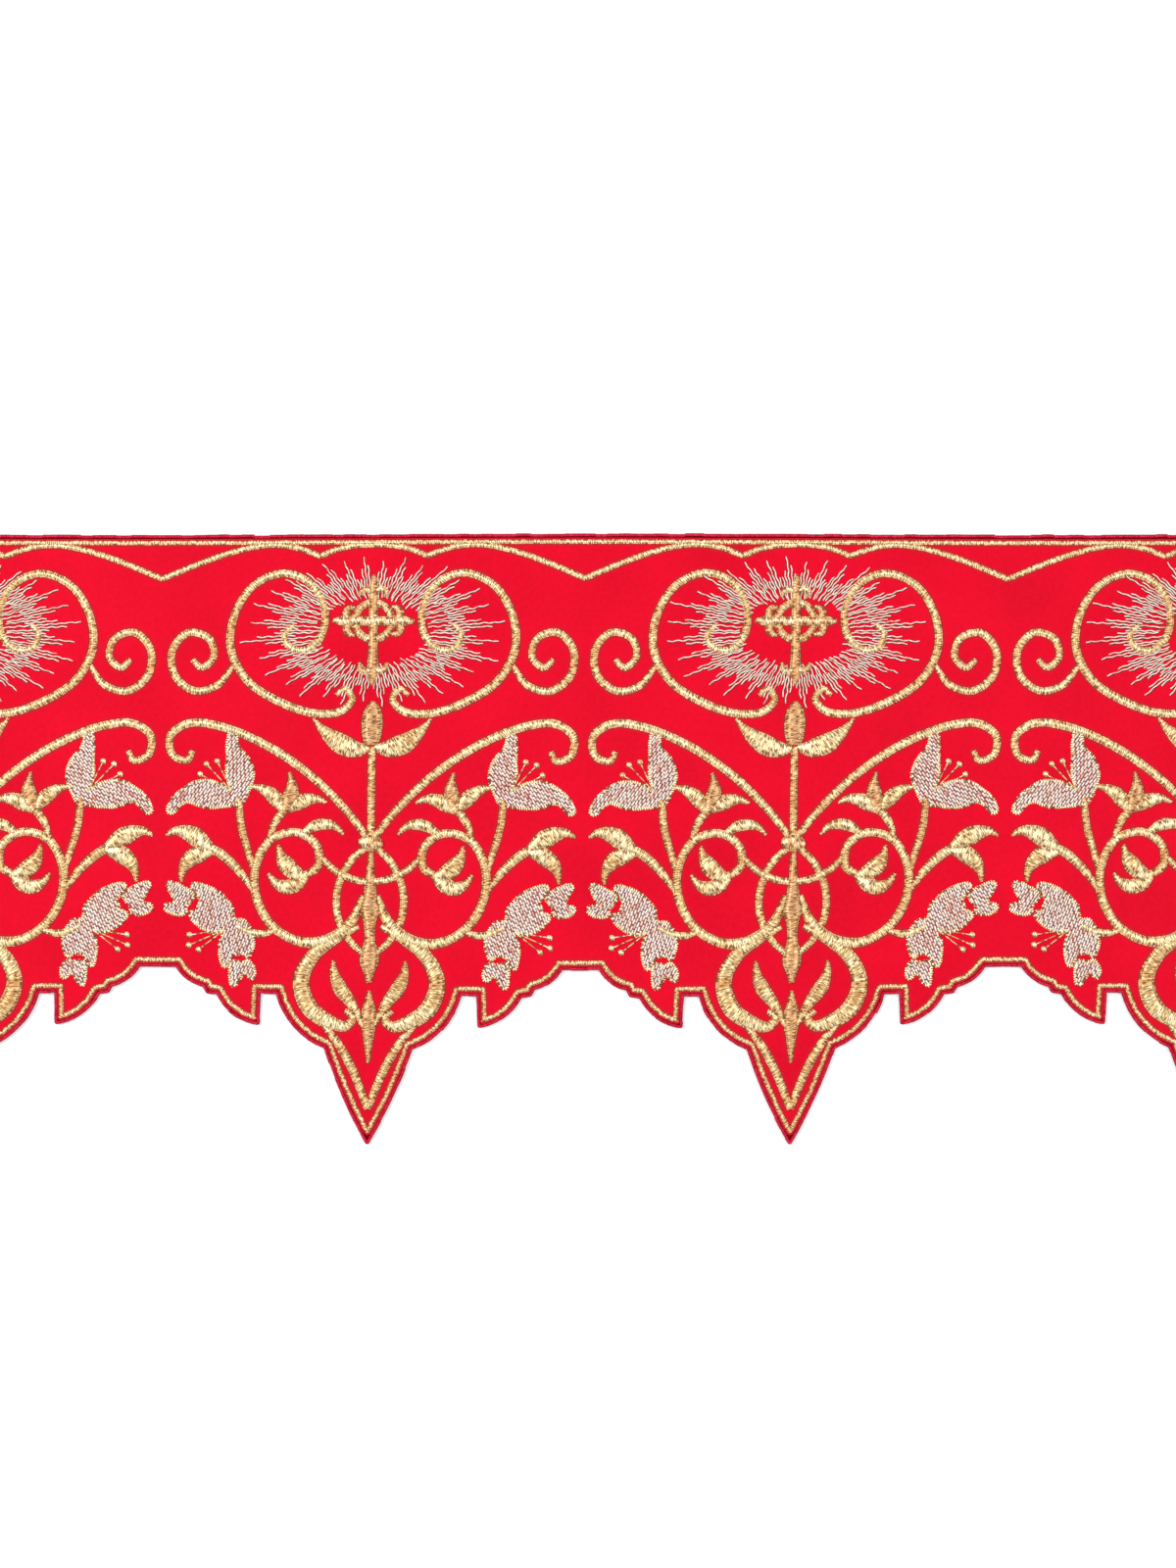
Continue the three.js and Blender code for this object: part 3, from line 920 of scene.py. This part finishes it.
class TRIM_OT_ground_cloth(bpy.types.Operator):
    """Lays the satin ground: one thin closed sheet, from the heading to the shaped hem."""

    bl_idname = "trim.ground_cloth"
    bl_label = "Ground cloth"

    TUCK = 0.9  # the sheet ends under the rolled edge
    RIM_DROP = 0.5  # and its face is pressed down there
    BODY_DOWN = 136.0  # above this the mesh's rows are straight, below they follow the hem
    HEM_ROWS = 14  # the rows of cells that follow it

    def execute(self, context):
        cell = sizes()["cloth_cell"]
        hem = move_in(HEM_LINE, self.TUCK)[::-1]
        gaps = np.diff(hem[:, 0])
        columns = [hem[:1, 0]]
        for start, gap in zip(hem[:-1, 0], gaps):
            steps = max(1, math.ceil(gap / cell))
            columns.append(start + gap * (np.arange(steps) + 1) / steps)
        x = np.concatenate(columns)
        hem_down = -np.interp(x, hem[:, 0], hem[:, 1])
        upper = np.linspace(self.TUCK, self.BODY_DOWN, round(self.BODY_DOWN / cell))
        lower = np.linspace(0, 1, self.HEM_ROWS + 1)[1:, None]
        lower = self.BODY_DOWN + lower * (hem_down - self.BODY_DOWN)
        down = np.vstack([np.repeat(upper[:, None], len(x), axis=1), lower])
        rows, count = down.shape
        height = np.full(down.shape, CLOTH_THICKNESS)
        height[[0, -1]] -= self.RIM_DROP
        face = lie(x, down, height).reshape(-1, 3)
        underside = lie(x, down, 0.0).reshape(-1, 3)
        index = np.arange(rows * count).reshape(rows, count)
        corners = [index[:-1, :-1], index[1:, :-1], index[1:, 1:], index[:-1, 1:]]
        top = np.stack(corners, axis=-1).reshape(-1, 4)
        under = top[:, ::-1] + rows * count
        rim = np.concatenate([index[0], index[1:, -1], index[-1, -2::-1], index[-2:0:-1, 0]])
        following = np.roll(rim, -1)
        wall = np.stack([rim, following, following + rows * count, rim + rows * count], axis=-1)
        # painted shade along the rim, where the sheet is pressed down under the rolled edge
        groove = np.zeros(down.shape)
        groove[[0, -1]] = 1.0
        cloth = mesh_object(
            "ground_cloth_satin",
            np.concatenate([face, underside]),
            [top, under, wall],
            MATERIALS["satin"],
            {"groove": np.concatenate([groove.ravel(), groove.ravel()])},
        )
        map_from_above(cloth, underside_from=rows * count)
        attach(cloth, "root")
        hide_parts("ground_cloth")
        return {"FINISHED"}


class TRIM_OT_rolled_edges(bpy.types.Operator):
    """Winds the red overcasting thread along the heading and round the hem."""

    bl_idname = "trim.rolled_edges"
    bl_label = "Rolled edges"

    AROUND = 8  # corners of its cross section
    THREAD_DEPTH = 0.12  # of the radius, from a thread's crown to the groove beside it
    SNAG_EVERY = 4.5  # the cut under the thread steps in and out, about this far apart
    SNAG = 0.10  # by about this much

    def wind(self, sewing, size, line):
        """Winds thread round a line, as a ridge for each turn and a groove between."""
        place = straight_spine(line, ROLL_WIDTH)[:, :2]
        run = np.concatenate([[0], np.cumsum(np.linalg.norm(np.diff(place, axis=0), axis=1))])
        threads = round(run[-1] / size["roll_pitch"])
        rows = 2 * threads + 1
        stops = np.linspace(0, run[-1], rows)
        x, down = (np.interp(stops, run, place[:, i]) for i in (0, 1))
        along = smooth_tangents(place, run, stops, reach=0.6)
        side = np.column_stack([-along[:, 1], along[:, 0]])
        ridge = (np.arange(rows) % 2 == 1).astype(float)
        angle = (np.arange(self.AROUND) + 0.5) / self.AROUND * 2 * np.pi
        swell = 1 - self.THREAD_DEPTH + self.THREAD_DEPTH * ridge + sewing.random.normal(0, 0.03, rows)
        snags = sewing.random.normal(0, self.SNAG, int(run[-1] / self.SNAG_EVERY) + 2)
        snag = snags[(stops / self.SNAG_EVERY + 0.35 * np.sin(stops / 7.0)).astype(int)]
        # but for its snags, it keeps a hair inside the solid that it stands for
        out = (ROLL_WIDTH / 2 - 0.02) * swell[:, None] * np.cos(angle) + snag[:, None]
        up = ROLL_THICKNESS / 2 * (1 + swell[:, None] * np.sin(angle) * 0.98)
        rings = lie(x[:, None] + side[:, :1] * out, down[:, None] + side[:, 1:] * out, up)
        # each turn has a tone of its own; painted light makes the top of the roll lighter and its flanks
        # darker
        tone = np.repeat(sewing.random.normal(0.5, 0.22, threads + 1), 2)[:rows, None]
        tone = tone + 0.35 * (np.sin(angle) - 0.6)
        # the grooves between turns are in painted shade, unevenly
        uneven = sewing.random.random((rows, self.AROUND)) ** 2
        groove = (1 - ridge)[:, None] * (0.15 + 0.45 * uneven)
        # its underside has the edge colour, a painted shade, and its flanks come to it
        edge = np.where(np.sin(angle) < 0, 1, np.clip(1.2 * np.abs(np.cos(angle)), 0, 1))
        order = np.arange(rows)[:, None] / 2
        aside = angle * ROLL_WIDTH / 2
        sewing.tube(rings, tone=tone, groove=groove, edge=edge, thread=order, aside=aside)

    def execute(self, context):
        inset = ROLL_WIDTH / 2
        hem = move_in(HEM_LINE, inset)
        hem_down = np.column_stack([hem[:, 0], -hem[:, 1]])
        heading = np.array([(LENGTH / 2, inset), (-LENGTH / 2, inset)])
        for node, line, number in (("heading_roll", heading, 1), ("hem_roll", hem_down, 2)):
            piece = sew(node + "_thread", "edge_thread", "roll", number, self.wind, line)
            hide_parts(node)
        return {"FINISHED"}


class TRIM_OT_border_lines(bpy.types.Operator):
    """Sews the gold lines along the heading and the hem, and the bracket line below the heading."""

    bl_idname = "trim.border_lines"
    bl_label = "Border lines"

    HEADING_MORE = 0.25  # the heading's line lies this much farther in than the hem's

    def sew_line(self, sewing, size, line):
        """Adds satin stitch along a line with corners, at the border lines' width."""
        spine = straight_spine(line, size["line_width"])
        sewing.satin(spine, size["satin_pitch"], size["satin_height"])

    def execute(self, context):
        inset = sizes()["line_inset"]
        hem = move_in(HEM_LINE, inset)
        hem_down = np.column_stack([hem[:, 0], -hem[:, 1]])
        heading_inset = inset + self.HEADING_MORE
        heading = [(LENGTH / 2, heading_inset), (-LENGTH / 2, heading_inset)]
        for name, line, number in (("gold_heading_line", heading, 3), ("gold_hem_line", hem_down, 4)):
            sew(name, "gold_thread", "gold", number, self.sew_line, line)
        spines = []
        for centre in repeat_centres():
            for rows in BRACKET_LINE:
                spines += both_sides(rows, centre)
        sew("gold_bracket_line", "gold_thread", "gold", 5, sew_satin, spines)
        return {"FINISHED"}


# piece, material, and spines with the lift that takes each over what it crosses
SATIN_PIECES = [
    ("gold_scroll_frame", "gold", [(C_SCROLL, 0.25), (SIDE_CURL, 0.0)]),
    (
        "gold_stems",
        "gold",
        [
            (CENTRE_STEM, 0.0), (BRANCH, 0.1), (LOOP, 0.0), (GARLAND, 0.2), (SCROLL_STEM, 0.3),
            (LILY_STEM, 0.1), (BELL_STEM, 0.1), (SPRIG_STEM, 0.1), (OUTER_STEM, 0.1),
        ],
    ),
    (
        "gold_leaves",
        "gold",
        [(CENTRE_LEAF, 0.0), (INNER_LEAF, 0.1)]
        + [(leaf, 0.2) for leaf in SCROLL_LEAVES + SPRIG_LEAVES + OUTER_LEAVES],
    ),
    (
        "old_gold_buds",
        "old_gold",
        [(CENTRE_BUD, 0.4), (SPRIG_BUD, 0.45), (KNOT, 0.5), (SPINDLE, 0.35), (PENDANT_DROP, 0.2)],
    ),
    ("gold_pendant", "gold", [(PENDANT_HEART, 0.3), (PENDANT_POINT, 0.1), (PENDANT_LEAF, 0.2)]),
]


class TRIM_OT_gold_motifs(bpy.types.Operator):
    """Sews each repeat's scroll frame, stems, leaves, buds and pendant in gold satin stitch."""

    bl_idname = "trim.gold_motifs"
    bl_label = "Gold motifs"

    MOTTLE = {"gold": 0.0, "old_gold": 0.12}  # old gold is the more speckled: more uneven, and with more specks of painted shade

    def sew_motif(self, sewing, size, centre, spines, mottle):
        """Adds a motif to both sides of a repeat's centre line."""
        for rows, lift in spines:
            sew_satin(sewing, size, both_sides(rows, centre), lift=lift, mottle=mottle)

    def execute(self, context):
        for number, centre in enumerate(repeat_centres(), 1):
            for order, (name, material, spines) in enumerate(SATIN_PIECES):
                about = (centre, spines, self.MOTTLE[material])
                own = 10 * number + order
                sew(f"{name}_{number}", "gold_thread", material, own, self.sew_motif, *about)
        return {"FINISHED"}


def petal_outline(spine):
    """The outline of a petal: up one side of its spine, round the tip, down the other and back."""
    run = smooth_spine(spine, step=0.4)
    along = np.gradient(run[:, :2], axis=0)
    along /= np.maximum(np.linalg.norm(along, axis=1), 1e-6)[:, None]
    side = np.column_stack([-along[:, 1], along[:, 0]]) * run[:, 2:] / 2
    turn = np.linspace(0, np.pi, 17)[1:-1, None]
    tip = run[-1, :2] + side[-1] * np.cos(turn) + along[-1] * run[-1, 2] / 2 * np.sin(turn)
    corners = np.vstack([run[:, :2] + side, tip, (run[:, :2] - side)[::-1], run[:1, :2] + side[:1]])
    return straight_spine(corners, 0.0, step=0.4)[:-1, :2]


def crossings(points, level):
    """Where an outline crosses a level, as (start, end) pairs of the stretches inside it."""
    following = np.roll(points, -1, axis=0)
    crossing = (points[:, 1] > level) != (following[:, 1] > level)
    a, b = points[crossing], following[crossing]
    cuts = np.sort(a[:, 0] + (level - a[:, 1]) / (b[:, 1] - a[:, 1]) * (b[:, 0] - a[:, 0]))
    return list(zip(cuts[::2], cuts[1::2]))


def joined(stretches):
    """Stretches with those that overlap made one."""
    whole = []
    for start, end in sorted(stretches):
        if whole and start <= whole[-1][1]:
            whole[-1][1] = max(whole[-1][1], end)
        else:
            whole.append([start, end])
    return whole


SHORTEST_ROW = 0.5  # of silver fill
SHORTEST_STITCH = 0.6  # at the ends of its rows


def fill_rows(outlines, angle, pitch):
    """The rows of fill inside joined outlines, at an angle. It gives the turn to that angle, and
    each row turned level: its number, its level, and its left and right ends."""
    turn = np.array([[math.cos(angle), math.sin(angle)], [-math.sin(angle), math.cos(angle)]])
    shapes = [outline @ turn.T for outline in outlines]
    low = min(points[:, 1].min() for points in shapes)
    high = max(points[:, 1].max() for points in shapes)
    rows = []
    for number, level in enumerate(np.arange(low + pitch / 2, high, pitch)):
        stretches = joined([stretch for points in shapes for stretch in crossings(points, level)])
        stretches = [ends for ends in stretches if ends[1] - ends[0] > SHORTEST_ROW]
        rows += [(number, level, left, right) for left, right in stretches]
    return turn, rows


def brick_stitches(turn, rows, stitch):
    """The fill's stitches, each row set off from the last one by half a stitch and a little."""
    starts, ends = [], []
    for number, level, left, right in rows:
        set_off = 0.48 * number + 0.1 * math.sin(7.0 * number)
        first = math.ceil((left + SHORTEST_STITCH) / stitch - set_off)
        last = math.floor((right - SHORTEST_STITCH) / stitch - set_off)
        stops = [left, *((i + set_off) * stitch for i in range(first, last + 1)), right]
        starts += [(stop, level) for stop in stops[:-1]]
        ends += [(stop, level) for stop in stops[1:]]
    return np.array(starts) @ turn, np.array(ends) @ turn


def run_stitches(points, stitch):
    """Running stitches along a line."""
    lengths = np.concatenate([[0], np.cumsum(np.linalg.norm(np.diff(points, axis=0), axis=1))])
    stops = np.linspace(0, lengths[-1], max(2, round(lengths[-1] / stitch) + 1))
    place = np.column_stack([np.interp(stops, lengths, points[:, i]) for i in (0, 1)])
    return place[:-1], place[1:]


def inside(outline, places):
    """Which places lie inside an outline."""
    hits = np.zeros(len(places), bool)
    for (ax, ay), (bx, by) in zip(outline, np.roll(outline, -1, axis=0)):
        spans = (ay > places[:, 1]) != (by > places[:, 1])
        if spans.any():
            reach = ax + (places[:, 1] - ay) / (by - ay + 1e-12) * (bx - ax)
            hits ^= spans & (places[:, 0] < reach)
    return hits


def outer_runs(outline, others):
    """The stretches of a closed outline that lie outside the other outlines it joins."""
    shown = np.ones(len(outline), bool)
    for other in others:
        shown &= ~inside(other, outline)
    if shown.all():
        return [np.vstack([outline, outline[:1]])]
    first = int(np.argmin(shown))
    shown, outline = np.roll(shown, -first), np.roll(outline, -first, axis=0)
    breaks = np.flatnonzero(np.diff(shown.astype(int)))
    return [part for part in np.split(outline, breaks + 1)[1::2] if len(part) > 3]


def flower_parts():
    """The lily and bells on the right half of a repeat: parts, each of petals that join up."""
    parts = [[turned(rows, LILY_AT, LILY_TURN) for rows in LILY_PETALS]]
    cups = []
    for across, down, turn, size in BELLS:
        cups += [turned(rows, (across, down), turn, size) for rows in BELL_CUP]
        parts.append([turned(rows, (across, down), turn, size) for rows in BELL_INNER])
    return [*parts, cups]


def each_part(centre):
    """Every flower part of a repeat, on both sides: its number, its side and its petals' outlines."""
    for order, part in enumerate(flower_parts()):
        for side in (1, -1):
            yield order, side, [petal_outline(rows * (side, 1, 1) + (centre, 0, 0)) for rows in part]


class TRIM_OT_silver_lilies(bpy.types.Operator):
    """Fills the lilies of every repeat in silver brick stitch."""

    bl_idname = "trim.silver_lilies"
    bl_label = "Silver lilies"

    ANGLE = 56.0
    ANGLE_STEP = 4.0  # from one part of a flower to the next
    HEIGHT = 0.42
    UNDERLAY_HEIGHT = 0.08

    def fill(self, sewing, size, centre):
        """Fills a repeat's flowers: long underlay stitches first, and the brick stitches over them."""
        pitch = size["fill_pitch"]
        for order, side, outlines in each_part(centre):
            angle = math.radians(self.ANGLE + self.ANGLE_STEP * order) * side
            turn, rows = fill_rows(outlines, angle, pitch)
            starts = np.array([(left, level) for _, level, left, _ in rows]) @ turn
            ends = np.array([(right, level) for _, level, _, right in rows]) @ turn
            # the underlay is painted dark, as the shade between the brick stitches over it
            sewing.stitches(
                starts, ends, pitch, self.UNDERLAY_HEIGHT, ring=UNDERLAY_RING, dive=0.04
            )
            starts, ends = brick_stitches(turn, rows, size["fill_stitch"])
            starts = starts + sewing.random.normal(0, 0.10, starts.shape)
            ends = ends + sewing.random.normal(0, 0.10, ends.shape)
            height = self.HEIGHT + sewing.random.normal(0, 0.04, len(starts))
            sewing.stitches(
                starts, ends, pitch, height, tone=0.75, spread=0.3, ring=FILL_RING, dive=0.13,
                first_shade=0.15,
            )

    def execute(self, context):
        for number, centre in enumerate(repeat_centres(), 1):
            sew(f"silver_lilies_{number}", "silver_thread", "silver", 60 + number, self.fill, centre)
        return {"FINISHED"}


class TRIM_OT_gold_outlines(bpy.types.Operator):
    """Edges the lilies in gold and sews their stamens, each with a small round knot at its tip."""

    bl_idname = "trim.gold_outlines"
    bl_label = "Gold outlines"

    WIDTH = 1.1  # of the overcast edge
    PITCH = 0.78
    SLANT = 0.35  # along the edge, for each millimetre across it
    STAMEN_STITCH = 2.4
    STAMEN_KNOT = [(-0.9, 0.0, 0.8), (-0.45, 0.0, 1.6), (0.45, 0.0, 1.6), (0.9, 0.0, 0.8)]
    KNOT_PITCH = 0.4

    def overcast(self, sewing, line):
        """Short stitches laid over a line, a little aslant."""
        starts, ends = run_stitches(line, self.PITCH)
        middle, along = (starts + ends) / 2, ends - starts
        along /= np.maximum(np.linalg.norm(along, axis=1), 1e-6)[:, None]
        over = np.column_stack([-along[:, 1], along[:, 0]]) + self.SLANT * along
        over = over + sewing.random.normal(0, 0.12, over.shape)
        half = self.WIDTH / 2 * over
        sewing.stitches(
            middle - half, middle + half, width=0.64, height=0.50, tone=0.9, spread=0.2, dive=0.12,
            tip_shade=0.3,
        )

    def stamen(self, sewing, size, foot, tip):
        """Running stitches from foot to tip, and a knot of satin stitch there."""
        starts, ends = run_stitches(np.array([foot, tip]), self.STAMEN_STITCH)
        sewing.stitches(starts, ends, width=0.46, height=0.42, tone=0.6, dive=0.03, tip_shade=0.4)
        knot = smooth_spine(np.array(self.STAMEN_KNOT) + (*tip, 0))
        sewing.satin(
            knot, self.KNOT_PITCH, size["satin_height"], tone=0.4, spread=0.3, dimpled=0.3
        )

    def outline_flowers(self, sewing, size, centre):
        """Edges a repeat's flowers where they don't join each other, and adds their stamens."""
        for _, _, outlines in each_part(centre):
            for order, outline in enumerate(outlines):
                for line in outer_runs(outline, outlines[:order] + outlines[order + 1 :]):
                    self.overcast(sewing, line)
        foot = turned([(*LILY_STAMEN_FOOT, 0)], LILY_AT, LILY_TURN)[0]
        tips = turned([(*tip, 0) for tip in LILY_STAMEN_TIPS], LILY_AT, LILY_TURN)
        stamens = [(foot[:2], tip[:2]) for tip in tips]
        stamens += [(BELL_STAMEN_FOOT, tip) for tip in BELL_STAMEN_TIPS]
        for side in (1, -1):
            for ends in stamens:
                self.stamen(sewing, size, *(np.array(ends, float) * (side, 1) + (centre, 0)))

    def execute(self, context):
        for number, centre in enumerate(repeat_centres(), 1):
            name = f"gold_flower_outlines_{number}"
            sew(name, "gold_thread", "gold", 70 + number, self.outline_flowers, centre)
        return {"FINISHED"}


class TRIM_OT_silver_rays(bpy.types.Operator):
    """Sews the oval glory: clusters of wavering running-stitch lines that end in spear points."""

    bl_idname = "trim.silver_rays"
    bl_label = "Silver rays"

    WAVER = 0.17  # how far its stitches step to one side and the other
    LAP = 0.14  # how far each stitch runs on past both of its ends

    def headings(self):
        """The directions of all the lines, even along the oval halfway out."""
        angle = np.linspace(0, 2 * math.pi, 721)
        half = (np.array(GLORY_INNER) + GLORY_OUTER) / 2
        oval = np.column_stack([half[0] * np.cos(angle), half[1] * np.sin(angle)])
        run = np.concatenate([[0], np.cumsum(np.linalg.norm(np.diff(oval, axis=0), axis=1))])
        lines = len(RAY_LINES)
        within = (np.arange(lines) - (lines - 1) / 2) / lines
        share = (np.arange(RAY_CLUSTERS)[:, None] + 0.5 + within) / RAY_CLUSTERS
        return np.interp(share * run[-1], run, angle)

    def sew_glory(self, sewing, size, centre):
        """Adds the rays of a repeat's glory, each line from its foot to its tip."""
        middle = np.array([centre, GLORY_DOWN])
        starts, ends = [], []
        for cluster, headings in enumerate(self.headings()):
            longest = (1.0 if cluster % 2 else 0.9) + sewing.random.normal(0, 0.02)
            for order, (own, (late, reach)) in enumerate(zip(headings, RAY_LINES)):
                towards = np.array([math.cos(own), math.sin(own)])
                foot, tip = middle + towards * GLORY_INNER, middle + towards * GLORY_OUTER
                late = late + sewing.random.normal(0, 0.03)
                reach = reach * longest + sewing.random.normal(0, 0.02)
                foot, tip = foot + (tip - foot) * late, foot + (tip - foot) * reach
                length = np.linalg.norm(tip - foot)
                count = max(3, round(length / size["ray_stitch"]))
                along = (tip - foot) / length
                side = np.array([-along[1], along[0]])
                waver = self.WAVER * (-1) ** (np.arange(count + 1) + order)
                waver = waver + sewing.random.normal(0, 0.06, count + 1)
                stops = np.linspace(foot, tip, count + 1) + side * waver[:, None]
                starts.append(stops[:-1] - along * self.LAP)
                ends.append(stops[1:] + along * self.LAP)
        starts, ends = np.concatenate(starts), np.concatenate(ends)
        # their lower sides, and the skirt beside them on the cloth, carry painted shadow
        sewing.stitches(
            starts, ends, width=0.49, height=0.40, tone=0.65, spread=0.3, ring=FINE_RING, dive=0.1,
            on_cloth=True,
        )

    def execute(self, context):
        for number, centre in enumerate(repeat_centres(), 1):
            name = f"silver_rays_{number}"
            sew(name, "silver_thread", "silver", 80 + number, self.sew_glory, centre)
        return {"FINISHED"}


class TRIM_OT_gold_cross(bpy.types.Operator):
    """Sews the ringed cross with leafy ends in the middle of each glory."""

    bl_idname = "trim.gold_cross"
    bl_label = "Gold cross"

    RING_LIFT = 0.1
    BAR_LIFT = 0.45
    LEAF_LIFT = 0.40

    def parts(self):
        """The ring, and then each arm's bar and leaves: rows, turn and lift."""
        radius, width = CROSS_RING
        angle = np.linspace(0, 2 * math.pi, 73)
        ring = [radius * np.sin(angle), radius * np.cos(angle), np.full(len(angle), width)]
        yield np.column_stack(ring), 90.0, self.RING_LIFT
        for turn, length in CROSS_ARMS:
            bar = np.array(CROSS_BAR)
            bar[:, 1] *= np.where(bar[:, 1] > 0, length, 1)
            yield bar, turn, self.BAR_LIFT
            for leaf in CROSS_FINIAL:
                yield np.array(leaf) + (0, length, 0), turn, self.LEAF_LIFT

    def sew_cross(self, sewing, size, centre):
        """Adds a repeat's cross."""
        for rows, turn, lift in self.parts():
            spine = turned(rows, (centre, CROSS_CENTRE_DOWN), turn - 90.0)
            sew_satin(sewing, size, [spine], lift=lift, tone=0.6, mottle=0.1)

    def execute(self, context):
        for number, centre in enumerate(repeat_centres(), 1):
            sew(f"gold_cross_{number}", "gold_thread", "old_gold", 90 + number, self.sew_cross, centre)
        return {"FINISHED"}


class TRIM_OT_declare_cloth(bpy.types.Operator):
    bl_idname = "trim.declare_cloth"
    bl_label = "Declare the cloth"

    def execute(self, context):
        return {"FINISHED"}


class TRIM_OT_stage(bpy.types.Operator):
    """Sets the pale floor, the soft lights and the camera over the middle of the length."""

    bl_idname = "trim.stage"
    bl_label = "Stage"

    # in metres
    VIEW_DEPTH = 0.512  # how much of the cloth's plane the view's height covers
    HEADING_TO_CENTRE = 0.0819  # from the heading to the view's middle
    ASIDE = 0.0016  # how far the view's middle is to the right of the length's
    FLOOR_HALF = 3.0
    FLOOR_GAP = 0.0002

    # in millimetres, as a camera has them
    LENS = 100.0
    SENSOR = 36.0

    PAPER_GREY = (0.85, 0.85, 0.85, 1.0)
    PAPER_GLOW = 0.30
    WHITE = (1.0, 1.0, 1.0, 1.0)
    ROOM_LIGHT = 0.50  # the room's strength as a lamp, where the camera sees it at 1

    def seen(self, tree):
        """Is 1 for the camera, straight or by way of a gloss or glass, and 0 for other light."""
        path = add_node(tree, "LightPath")
        rays = {0: path.outputs["Is Camera Ray"], 1: path.outputs["Is Glossy Ray"]}
        rays = {0: add_node(tree, "Math", rays, out=0, operation="MAXIMUM")}
        rays[1] = path.outputs["Is Transmission Ray"]
        return add_node(tree, "Math", rays, out=0, operation="MAXIMUM")

    def floor_material(self):
        """Matt white paper: it reads as white to the camera and in the threads' gloss."""
        material, tree = new_material("matt_white_paper")
        glow = {0: self.seen(tree), 1: self.PAPER_GLOW}
        glow = add_node(tree, "Math", glow, out=0, operation="MULTIPLY")
        paper = add_node(tree, "BsdfDiffuse", {"Color": self.PAPER_GREY}, out=0)
        white = add_node(tree, "Emission", {"Color": self.WHITE, "Strength": glow}, out=0)
        both = add_node(tree, "AddShader", {0: paper, 1: white}, out=0)
        add_node(tree, "OutputMaterial", {"Surface": both})
        return material

    def pale_room(self):
        """A world that lights the cloth softly from all round and looks white."""
        world = bpy.data.worlds.new("pale_room")
        world.use_nodes = True
        tree = world.node_tree
        tree.nodes.clear()
        strength = {"Value": self.seen(tree), "To Min": self.ROOM_LIGHT, "To Max": 1.0}
        strength = add_node(tree, "MapRange", strength, out=0)
        room = add_node(tree, "Background", {"Color": self.WHITE, "Strength": strength}, out=0)
        add_node(tree, "OutputWorld", {"Surface": room})
        return world

    def add_floor(self):
        """A square of paper just under the cloth."""
        half, level = self.FLOOR_HALF, CAD_BOX[0][2] - self.FLOOR_GAP
        corners = [(x * half, y * half, level) for x, y in ((-1, -1), (1, -1), (1, 1), (-1, 1))]
        mesh = bpy.data.meshes.new("floor")
        mesh.from_pydata(corners, [], [(0, 1, 2, 3)])
        mesh.materials.append(self.floor_material())
        floor = bpy.data.objects.new("floor", mesh)
        bpy.context.scene.collection.objects.link(floor)

    def add_light(self, name, place, size, power):
        """A soft square lamp that points at the middle of the cloth."""
        data = bpy.data.lights.new(name, "AREA")
        data.shape = "SQUARE"
        data.size = size
        data.energy = power
        lamp = bpy.data.objects.new(name, data)
        lamp.location = place
        lamp.rotation_euler = (-lamp.location).to_track_quat("-Z", "Y").to_euler()
        bpy.context.scene.collection.objects.link(lamp)

    def add_camera(self):
        """A camera straight above the cloth; the lens is long, so that it looks flat."""
        data = bpy.data.cameras.new("camera")
        data.type = "PERSP"
        data.sensor_width = self.SENSOR
        data.lens = self.LENS
        distance = self.VIEW_DEPTH * self.LENS / self.SENSOR
        camera = bpy.data.objects.new("camera", data)
        camera.location.x = self.ASIDE
        camera.location.y = CAD_BOX[1][1] - self.HEADING_TO_CENTRE
        camera.location.z = distance + CLOTH_THICKNESS * MM
        bpy.context.scene.collection.objects.link(camera)
        bpy.context.scene.camera = camera

    def execute(self, context):
        self.add_floor()
        context.scene.world = self.pale_room()
        self.add_light("key", (-1.1, 0.5, 1.5), 1.0, 21.0)
        self.add_light("fill", (1.2, 0.1, 1.5), 1.2, 12.0)
        self.add_camera()
        context.scene.view_settings.view_transform = "Standard"
        return {"FINISHED"}


class TRIM_PT_panel(bpy.types.Panel):
    """Lists the sizes, the colours and the steps in the 3D view's sidebar."""

    bl_label = "Altar trim"
    bl_idname = "TRIM_PT_panel"
    bl_space_type = "VIEW_3D"
    bl_region_type = "UI"
    bl_category = "Altar trim"

    def draw(self, context):
        for group in (context.scene.trim_sizes, context.scene.trim_colours):
            box = self.layout.box()
            for name in group.__annotations__:
                box.prop(group, name)
        for step in STEPS:
            self.layout.operator(step.bl_idname)


STEPS = (
    TRIM_OT_ground_cloth,
    TRIM_OT_rolled_edges,
    TRIM_OT_border_lines,
    TRIM_OT_gold_motifs,
    TRIM_OT_silver_lilies,
    TRIM_OT_gold_outlines,
    TRIM_OT_silver_rays,
    TRIM_OT_gold_cross,
    TRIM_OT_stage,
    TRIM_OT_declare_cloth,
)
CLASSES = (TrimSizes, TrimColours, *STEPS, TRIM_PT_panel)


def register():
    for cls in CLASSES:
        bpy.utils.register_class(cls)
    bpy.types.Scene.trim_sizes = PointerProperty(type=TrimSizes)
    bpy.types.Scene.trim_colours = PointerProperty(type=TrimColours)


def unregister():
    del bpy.types.Scene.trim_colours
    del bpy.types.Scene.trim_sizes
    for cls in reversed(CLASSES):
        bpy.utils.unregister_class(cls)


def main():
    """Sews the trim and sets the stage."""
    register()
    bpy.ops.object.select_all(action="DESELECT")
    make_materials(bpy.context.scene.trim_colours)
    bpy.ops.trim.ground_cloth()
    bpy.ops.trim.rolled_edges()
    bpy.ops.trim.border_lines()
    bpy.ops.trim.gold_motifs()
    bpy.ops.trim.silver_lilies()
    bpy.ops.trim.gold_outlines()
    bpy.ops.trim.silver_rays()
    bpy.ops.trim.gold_cross()
    bpy.ops.trim.stage()
    bpy.ops.trim.declare_cloth()


if __name__ == "__main__":
    main()
